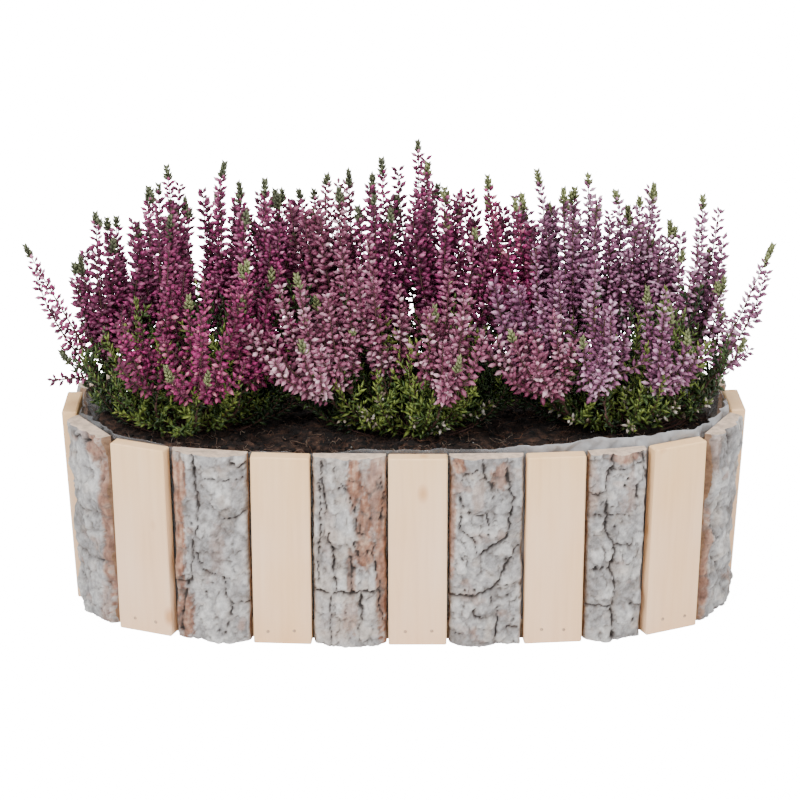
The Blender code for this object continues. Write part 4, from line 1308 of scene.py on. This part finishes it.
def greenery_piece(plant, own):
    """A plant's woody stems, its leafy shoots and more of them about its crown, darker inside and
    behind as painted shade and lighter at the front as painted light.
    """
    name = plant + "_greenery"
    chance = random.Random(name)
    batch = Batch()
    crown = np.array([*CROWNS[plant], SOIL_TOP])

    # The last number raises a shoot's greens; the fill shoots at the front use it as painted light.
    def grow(foot, end, level, rise, low, high, more=0.0):
        line = bent(foot, end, level, rise, 20)
        add_shoot(batch, line, chance, chance.uniform(low, high) + more)

    for strand in own:
        if strand.kind == "stem":
            line = smooth_line(strand.points, 16)
            add_tube(batch, line, np.linspace(2.4, 1.9, 16) * TWIG_RADIUS, TWIG_BROWN, TWIG)
            add_leaves(batch, line, 0.25, 1.0, chance, 0.2)
        else:
            line = smooth_line(strand.points, 20)
            add_shoot(batch, line, chance, chance.uniform(0.40, 0.92))
            if plant != "left" and line[-1, 1] < line[0, 1] - 0.004:
                add_buds(batch, line, 0.55, 1.0, BUD_TONES["cream"], 0.5, chance, sparse=0.45,
                         swell=0.8)
    for k in range(FILL_SHOOTS):
        turn = 2 * math.pi * (k * 0.618 + 0.1 * chance.random())
        reach = 0.014 + 0.036 * (k + 0.5) / FILL_SHOOTS
        out = np.array([math.cos(turn) * 1.25, math.sin(turn) * 0.95, 0])
        foot = crown + out * 0.006
        rise = 0.092 - 0.95 * reach + chance.uniform(-0.014, 0.008)
        end = foot + out * reach + np.array([0, 0, rise])
        # Fill shoots on the front side get greens 0.27 lighter: painted light on the front of the
        # plant.
        grow(foot, end, 0.8, 0.35, 0.15, 0.55, 0.27 if math.sin(turn) < 0 else 0)
    # The shoots at the back and sides get dark greens: painted shade.
    for k in range(OUTER_SHOOTS):
        turn = math.pi * (-0.12 + 1.24 * (k + chance.random()) / OUTER_SHOOTS)
        out = np.array([math.cos(turn) * 1.2, math.sin(turn) * 0.9, 0])
        foot = crown + out * 0.02
        end = foot + out * chance.uniform(0.026, 0.044)
        end[2] += chance.uniform(0.030, 0.062)
        control = foot + out * 0.03 + np.array([0, 0, 0.012])
        add_shoot(batch, curve(foot, control, end, 20), chance, chance.uniform(0.05, 0.3))
    # The shoots in the core get the darkest greens: painted shade inside the plant.
    for k in range(CORE_SHOOTS):
        end = crown + np.array([0.052 * (2 * (k + chance.random()) / CORE_SHOOTS - 1),
                                chance.uniform(-0.005, 0.045), chance.uniform(0.045, 0.094)])
        grow(crown, end, 0.75, 0.4, 0.0, 0.25)
    # The shoots in the gaps get the darkest greens: painted shade between the plants.
    for gap in GAPS[plant]:
        for _ in range(GAP_SHOOTS):
            foot = crown + np.array([(gap - crown[0]) * 0.25, 0, 0])
            end = np.array([gap + chance.uniform(-0.017, 0.017), chance.uniform(-0.020, 0.045),
                            chance.uniform(0.130, 0.195)])
            grow(foot, end, 0.8, 0.4, 0.0, 0.25)
    batch.build(name + "_leaves", PLANT_LOOKS, (name,))


# Stage

SEEN_WHITE = 15.0
WORLD_LIGHT = 0.75
FLOOR_HALF = 6
FLOOR_Z = -0.0002
# Place, size and power of each lamp
LAMPS = (((-1.3, -2.1, 2.4), 0.9, 105), ((1.8, -1.8, 1.4), 1.6, 38), ((0.2, 0.4, 2.8), 1.6, 60))


def floor_look():
    """Pale floor that a camera sees almost white, without lighting the planter from below."""
    look = Look("floor_white", 0.9, (0.9, 0.9, 0.9))
    seen = look.node("LightPath").outputs["Is Camera Ray"]
    glow = look.node("Math", {0: seen, 1: SEEN_WHITE}, operation="MULTIPLY").outputs[0]
    look.shader.inputs["Emission Color"].default_value = (1.0, 1.0, 1.0, 1.0)
    look.tree.links.new(glow, look.shader.inputs["Emission Strength"])
    return look.made


def stage():
    """White floor, white world and three soft lamps."""
    mesh = bpy.data.meshes.new("floor")
    mesh.from_pydata([(x * FLOOR_HALF, y * FLOOR_HALF, FLOOR_Z)
                      for x, y in ((-1, -1), (1, -1), (1, 1), (-1, 1))], [], [(0, 1, 2, 3)])
    floor = bpy.data.objects.new("floor", mesh)
    bpy.context.scene.collection.objects.link(floor)
    mesh.materials.append(floor_look())
    world = bpy.data.worlds.new("studio")
    bpy.context.scene.world = world
    world.use_nodes = True
    tree = world.node_tree
    back = tree.nodes["Background"]
    back.inputs["Color"].default_value = (1.0, 1.0, 1.0, 1.0)
    seen = tree.nodes.new("ShaderNodeLightPath").outputs["Is Camera Ray"]
    glow = tree.nodes.new("ShaderNodeMath")
    glow.operation = "MULTIPLY_ADD"
    glow.inputs[1].default_value = SEEN_WHITE
    glow.inputs[2].default_value = WORLD_LIGHT
    tree.links.new(seen, glow.inputs[0])
    tree.links.new(glow.outputs[0], back.inputs["Strength"])
    for spot, size, power in LAMPS:
        data = bpy.data.lights.new("soft", "AREA")
        data.size, data.energy = size, power
        lamp = bpy.data.objects.new("soft", data)
        lamp.location = spot
        lamp.rotation_euler = (Vector((0, 0, 0.12)) - Vector(spot)).to_track_quat(
            "-Z", "Y").to_euler()
        bpy.context.scene.collection.objects.link(lamp)


# The camera: degrees above level, metres, and pixels of the photograph
ELEVATION = math.radians(22.5)
DISTANCE, AIM_Z = 2.2, 0.06
FOCAL, PHOTO_WIDTH, AIM_LEFT, AIM_DOWN = 3718.0, 800, 4.0, 95.0
SENSOR = 36.0


def camera():
    """The photograph's view."""
    data = bpy.data.cameras.new("photo")
    data.sensor_width = SENSOR
    data.lens = FOCAL * SENSOR / PHOTO_WIDTH
    data.clip_end = 50
    made = bpy.data.objects.new("photo", data)
    made.location = (0, -DISTANCE * math.cos(ELEVATION),
                     AIM_Z + DISTANCE * math.sin(ELEVATION))
    pitch = ELEVATION - math.atan(AIM_DOWN / FOCAL)
    made.rotation_euler = (math.pi / 2 - pitch, 0, math.atan(AIM_LEFT / FOCAL))
    bpy.context.scene.collection.objects.link(made)
    bpy.context.scene.camera = made


def main():
    camera()
    stage()
    frames = slat_frames()
    wood, board = wood_look(), board_look()
    for k, frame in enumerate(frames):
        number = f"{k // 2 + 1:02d}"
        if k % 2 == 0:
            NODES["wood_slat_" + number].material_slots[0].material = wood
        else:
            bark_piece("bark_slat_" + number, frame, k)
    NODES["base_board"].material_slots[0].material = board
    nails(frames)
    film_piece(frames)
    soil_piece(frames)
    strands = plan_strands()
    spread(strands)
    for plant in CROWNS:
        greenery_piece(plant, [s for s in strands if s.node == plant + "_greenery"])
    for name in SPRAYS:
        spray_piece(name, name.split("_")[0], [s for s in strands if s.node == name])
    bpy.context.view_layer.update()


main()
